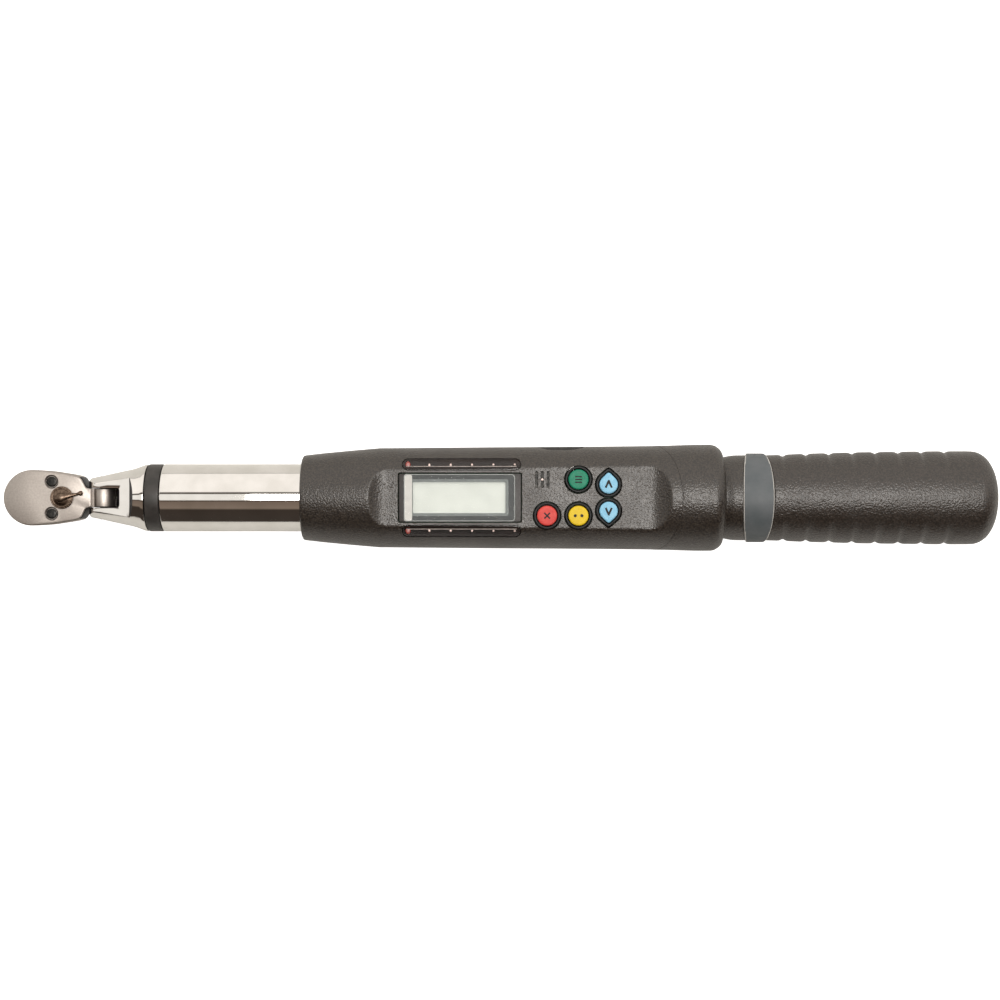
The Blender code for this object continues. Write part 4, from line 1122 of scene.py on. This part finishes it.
# %% Turn and groove the grip
GRIP_START, GRIP_END = 294.5, span("grip")[1]
WAIST_X = (GRIP_START, 301.0, 310.0, 334.0, 350.0, 366.0, 377.0)
WAIST_R = (17.2, 17.4, 17.8, 18.45, 18.65, 18.85, 18.85)
mouth = [(383.5, 0), (383.5, BORE), (GRIP_START, BORE), (GRIP_START, 16.7), (294.7, 17.05), (295.1, 17.2)]
sides = [(x, float(np.interp(x, WAIST_X, WAIST_R))) for x in np.arange(295.5, 376.4, 0.45)]
dome = [(376.6, 18.85, 0), (380.2, 18.7, 3), (383.6, 16.7, 3), (386.0, 13.2, 3), (387.3, 9.2, 3)]
dome = soften(dome + [(GRIP_END - 0.1, 4.8, 3), (GRIP_END, 0, 0)], closed=False, steps=8)


def grip_lean(along):
    return GRIP_LEAN * max(0.0, (301 - along) / (301 - GRIP_START))


grip_blank = solid(turned("grip", mouth + sides + dome, 256, lean=grip_lean))
tree, sizes = groove_tree()
step = grip_blank.modifiers.new("grooves", "NODES")
step.node_group = tree
first_groove, groove_pitch, groove_count = 302.4, 9.3, 8
values = {"First": first_groove, "Last": first_groove + groove_pitch * (groove_count - 1), "Pitch": groove_pitch}
values |= {"Depth": 0.75, "Half Width": 1.15, "Bow": 2.2}
for label, value in values.items():
    step[sizes[label]] = value * MM
piece("grip_moulded", finished(grip_blank), None, "root", "grip", slot="housing_plastic", sharp=40)

# %% [markdown]
# ## Display
# A printed slate plate sits in the recess, with a window for the liquid crystal. A thin silver line round its rim
# is a painted highlight, for light along the pane's rounded rim, and a pale strip at the head's end is a painted
# reflection. A clear acrylic pane with rounded rims lies on top.

# %% Build the display
bezel_x, bezel_z = span("display_bezel"), span("display_bezel", "Z")
lens_x, lens_z = span("display_lens"), span("display_lens", "Z")
WINDOW_LOW, WINDOW_HIGH = (153.7, -6.1), (190.4, 6.2)
CARD_LOW, CARD_HIGH = (lens_x[0] + 0.2, -9.3), (lens_x[1] - 0.2, 9.3)
# LINE is the silver line, a painted highlight; PALE the pale strip, a painted reflection; STEP the grey step.
LINE, PALE, STEP = 0.24, 3.2, 1.1  # widths of the printed areas


def print_and_painted_light(outline, hole, layer, material):
    """A thin sheet on the border, often with a hole in it: print, and also the painted highlight and reflection."""
    base = bezel_z[1] + 0.03 * layer
    sheet = prism("print", outline, base, base + 0.05)
    if hole:
        sheet = machined(sheet, (CUT, prism("hole", hole, 0, 30)))
    return coat(sheet, material)


def grown(low, high, amount, radius):
    """A rounded rectangle that stands out from two corners by an amount."""
    return rounded([value - amount for value in low], [value + amount for value in high], radius)


window = rounded(WINDOW_LOW, WINDOW_HIGH, 0.5)
card = rounded(CARD_LOW, CARD_HIGH, 1.6)
inside = grown(CARD_LOW, CARD_HIGH, -LINE, 1.4)
border = grown(WINDOW_LOW, WINDOW_HIGH, STEP, 0.9)
bezel_plan = rounded((bezel_x[0], -9.55), (bezel_x[1], 9.55), 0.8)
bezel = machined(prism("plate", bezel_plan, *bezel_z, bevel=0.15), (CUT, prism("window", window, 5, 30)))
layers = [
    coat(bezel, BEZEL_ABS),
    print_and_painted_light(card, window, 1, PRINTED_SLATE),
    print_and_painted_light(border, window, 2, STEP_GREY),
    # The pale strip at the head's end is a painted reflection.
    print_and_painted_light(rounded(CARD_LOW, (CARD_LOW[0] + PALE, CARD_HIGH[1]), 1.2), None, 2.5, PAINTED_REFLECTION_STRIP),
    # The silver line round the card is a painted highlight.
    print_and_painted_light(card, inside, 3, PANE_RIM_HIGHLIGHT),
]
piece("display_bezel_printed", joined("bezel", layers), None, "root", "display_bezel", slot="slate_plastic")
pane = prism("pane", rounded((lens_x[0], -9.5), (lens_x[1], 9.5), 1.6), *lens_z, bevel=0.3)
piece("display_pane_clear", pane, ACRYLIC, "root", "display_lens", slot="clear_plastic")

# %% [markdown]
# ## Keys and their dark collars
# Each key is a silicone plug: a level wall, a rounded rim and a nearly flat face. The function marks are plain
# symbols printed on the face: chevrons, bars for the menu, a cross to clear, and a pair of dots to change over.

# %% Function marks
MARK = 0.035  # how thick the ink is, and how far it is sunk in the face


def stroke(points, width, height):
    """A flat printed line through points."""
    strips = []
    for start, end in zip(points, points[1:]):
        a, b = Vector(start), Vector(end)
        along = (b - a).normalized()
        across = Vector((-along.y, along.x)) * width / 2
        a, b = a - along * width * 0.3, b + along * width * 0.3
        corners = [a - across, b - across, b + across, a + across]
        strips.append(prism("stroke", [tuple(c) for c in corners], height, height + MARK))
    return coat(machined(strips[0], *[(WELD, strip) for strip in strips[1:]]), KEY_INK)


def key_marks(name, x, y, height):
    if name in ("up_key", "down_key"):
        rise = 1.25 if name == "up_key" else -1.25
        return [stroke([(x - 1.1, y - rise), (x, y + rise), (x + 1.1, y - rise)], 0.8, height)]
    if name == "mode_key":
        return [stroke([(x - 1.2, y + rise), (x + 1.2, y + rise)], 0.55, height) for rise in (-1.1, 0.0, 1.1)]
    if name == "clear_key":
        first, second = [stroke([(x - 1, y - lift), (x + 1, y + lift)], 0.6, height) for lift in (1, -1)]
        return [machined(first, (WELD, second))]
    dots = [ring_outline((x + away, y), 0.62, 24) for away in (-1.3, 1.3)]
    return [coat(prism("dot", dot, height, height + MARK), KEY_INK) for dot in dots]


print("marks", MARK, "mm thick")

# %% Keys
key_low, key_high = span("mode_key", "Z")
KEY_SLOTS = {"mode_key": "green_rubber", "clear_key": "red_rubber", "unit_key": "yellow_rubber"}
KEY_RIM = [(0.08, 0.3), (0.25, 0.14), (0.5, 0.06), (0.9, 0.03)]  # how far in, and how far below the top
for name, colour in KEYS.items():
    face = key_outline(name, FACE_SIZE)
    levels = [(face, key_low), (face, key_high - 0.55)]
    levels += [(inset(face, far_in), key_high - below) for far_in, below in KEY_RIM]
    x, y = sum(span(name)) / 2, sum(span(name, "Y")) / 2
    y -= {"up_key": 0.5, "down_key": -0.5}.get(name, 0)
    cap = joined(name, [coat(stepped(name, levels), colour), *key_marks(name, x, y, key_high - MARK)])
    piece(f"{name}_silicone", cap, None, name, name, slot=KEY_SLOTS.get(name, "blue_rubber"), sharp=40)

# %% Collars on their mat
mat_low, collar_top = span("keypad_mat", "Z")
collars = []
for name in KEYS:
    outer_line, inner_line = key_outline(name, COLLAR_SIZE), key_outline(name, COLLAR_BORE)
    levels = [(outer_line, mat_low), (outer_line, collar_top - 0.45)]
    levels += [(inset(outer_line, 0.14), collar_top - 0.12), (inset(outer_line, 0.38), collar_top)]
    levels += [(inset(inner_line, -0.3), collar_top)]
    levels += [(inner_line, collar_top - 0.3), (inner_line, mat_low)]
    collars.append(stepped(name, levels, ends=False))
mat = joined("collars", collars)
piece("keypad_collars_silicone", mat, COLLAR_SILICONE, "root", "keypad_mat", slot="black_rubber", sharp=50)

# %% [markdown]
# ## LED bars
# A smoked bar fills each channel and follows the shoulder beside the flat. Six small lamps sit in a row in it,
# so a row of points and the repeating tree place them. The first lamp at the head's end is red. A slender pale
# strip beside them is a painted highlight, for the line of light along each bar.

# %% LED bars and lamps
LAMPS, LAMP_FIRST, LAMP_PITCH, LAMP_Y = 6, 151.8, 8.45, 12.9
# Where the pale painted highlight strip lies on each bar, and its section.
HIGHLIGHT_Y, HIGHLIGHT_END = 12.35, 1.6
HIGHLIGHT_SECTION = ((-0.16, -0.3), (0.16, -0.3), (0.16, 0.02), (-0.16, 0.02))
LENS = soften([(-0.5, 0, 0), (-0.5, 0.5, 0.1), (0.06, 0.5, 0.3), (0.06, 0, 0)], closed=False)
BAR_SINK = 0.3


def bar_height(x, y):
    """How high the bar's face is at a place."""
    heights = [housing_point(x, angle) for angle in np.linspace(0.3, math.pi / 2, 160)][::-1]
    return float(np.interp(y, [point[0] for point in heights], [point[1] for point in heights])) - BAR_SINK


highlight_spots = [(x, bar_height(x, HIGHLIGHT_Y)) for x in np.linspace(BAR_X[0] + HIGHLIGHT_END, BAR_X[1] - HIGHLIGHT_END, 12)]
for side, name in ((1, "left"), (-1, "right")):
    bar = machined(prism("rod", bar_outline(side), 12.0, 30), (KEEP, upper_form))
    bar.transform(Matrix.Translation((0, 0, -BAR_SINK * MM)))
    round_rims(bar, 0.3, 45)
    piece(f"led_bar_{name}_smoked", bar, SMOKED, "root", f"led_bar_{name}", slot="smoked_plastic", sharp=40)
    # A pale strip along the bar: a painted highlight.
    pipe = lofted("pipe", [[(x, side * HIGHLIGHT_Y + dy, z + dz) for dy, dz in HIGHLIGHT_SECTION] for x, z in highlight_spots])
    piece(f"light_pipe_{name}", pipe, BAR_HIGHLIGHT, "root", slot="frosted_plastic")
    lens = turned("lens", LENS, 20, "Z")
    lens.transform(Matrix.Diagonal((0.85, 1.25, 1.0, 1.0)))
    spots = [(LAMP_FIRST + LAMP_PITCH * i, side * LAMP_Y, bar_height(180, LAMP_Y)) for i in range(LAMPS)]
    lamps = repeated(f"lamps_{name}", lens.copy(), LED_LENS, spots[1:])
    piece(f"lamp_lenses_{name}", lamps, None, "root", slot="frosted_plastic")
    red = repeated(f"red_lamp_{name}", lens, RED_LED_LENS, spots[:1], 2.4)
    piece(f"red_lamp_lens_{name}", red, None, "root", slot="red_rubber")

# %% [markdown]
# ## Floor, light and camera
# The tool lies display up on a pale floor. One long soft light hangs overhead. Chrome shows whatever stands
# round it, so the room has bright and dark banks along the tool, which give the tube its bands. The camera sees
# the floor and the room plain and pale, and only the light that reaches the tool comes from the banks.

# %% Floor
bpy.ops.mesh.primitive_plane_add(size=8, location=(0.2, 0, AXIS_Z + REST * MM - 0.0005))
floor = bpy.context.object
floor.name = "studio_floor"
paper = bpy.data.materials.new("white_studio_paper")
paper.use_nodes = True
paper_surface = paper.node_tree.nodes["Principled BSDF"].inputs
paper_surface["Base Color"].default_value = linear("#DDDDDA")
paper_surface["Roughness"].default_value = 0.9
paper_surface["Emission Color"].default_value = linear("#FFFFFF")
seen = add(paper.node_tree, "ShaderNodeLightPath").outputs["Is Camera Ray"]
paper.node_tree.links.new(seen, paper_surface["Emission Strength"])
floor.data.materials.append(paper)
print("floor at", round(floor.location.z, 4), "m")

# %% Overhead light
light = bpy.data.lights.new("overhead_strip", "AREA")
light.shape, light.size, light.size_y = "RECTANGLE", 1.1, 0.53
light.energy = 12.6
light.color = linear("#FFFBF6")[:3]
overhead = bpy.data.objects.new("overhead_strip", light)
overhead.location = (0.45, 0.055, 1.5 + AXIS_Z)
overhead.rotation_euler = (Vector((0.45, 0.055, 0)) - overhead.location).to_track_quat("-Z", "Y").to_euler()
bpy.context.scene.collection.objects.link(overhead)
print("light:", light.energy, "W")

# %% The room round the table
# Each bank is an angle about the tool in degrees, where 0 is straight up and 90 is the far side, and a colour.
BANKS = [(-95, "#D5D0C8"), (-88, "#3D3631"), (-42, "#3A322C"), (-36, "#7F7064"), (-14, "#74655A")]
BANKS += [(-12, "#4E4139"), (-9.5, "#4E4139"), (-8, "#F2EEE8"), (12, "#F2EEE8"), (13, "#57504A")]
BANKS += [(18, "#57504A"), (20, "#FFF9F2"), (88, "#FFF9F2"), (93, "#E6E2DB")]
world = bpy.data.worlds.new("studio_room")
bpy.context.scene.world = world
world.use_nodes = True
room = world.node_tree
direction = add(room, "ShaderNodeTexCoord").outputs["Generated"]
ray = add(room, "ShaderNodeSeparateXYZ", None, {0: direction}).outputs
around = add(room, "ShaderNodeMath", {"operation": "ARCTAN2"}, {0: ray["Y"], 1: ray["Z"]}).outputs[0]
turn = {"Value": around, "From Min": -math.pi, "From Max": math.pi}
share = add(room, "ShaderNodeMapRange", None, turn).outputs["Result"]
banks = add(room, "ShaderNodeValToRGB", None, {0: share})
bands = banks.color_ramp.elements
while len(bands) < len(BANKS):
    bands.new(0.5)
for element, (degrees, colour) in zip(bands, BANKS):
    element.position = (degrees + 180) / 360
    element.color = linear(colour)
backdrop = room.nodes["Background"]
room.links.new(banks.outputs["Color"], backdrop.inputs["Color"])
backdrop.inputs["Strength"].default_value = 1.1
pale = add(room, "ShaderNodeBackground", None, {"Color": linear("#F4F4F2"), "Strength": 1.0})
seen = add(room, "ShaderNodeLightPath").outputs["Is Camera Ray"]
shown = add(room, "ShaderNodeMixShader", None, {0: seen, 1: backdrop.outputs[0], 2: pale.outputs[0]})
room.links.new(shown.outputs[0], room.nodes["World Output"].inputs["Surface"])
print("room set:", len(BANKS), "banks")

# %% Camera
VIEW_HEIGHT = 0.730
camera = bpy.data.cameras.new("camera_above")
camera.lens, camera.sensor_width = 65, 36
eye = bpy.data.objects.new("camera_above", camera)
eye.location = (0.1882, -0.0009, AXIS_Z + VIEW_HEIGHT)
bpy.context.scene.collection.objects.link(eye)
bpy.context.scene.camera = eye
bpy.context.scene.view_settings.view_transform = "Standard"
print("camera", VIEW_HEIGHT, "m above the tool axis")

# %% Count of the finished pieces
print("pieces finished:", len(PIECES))
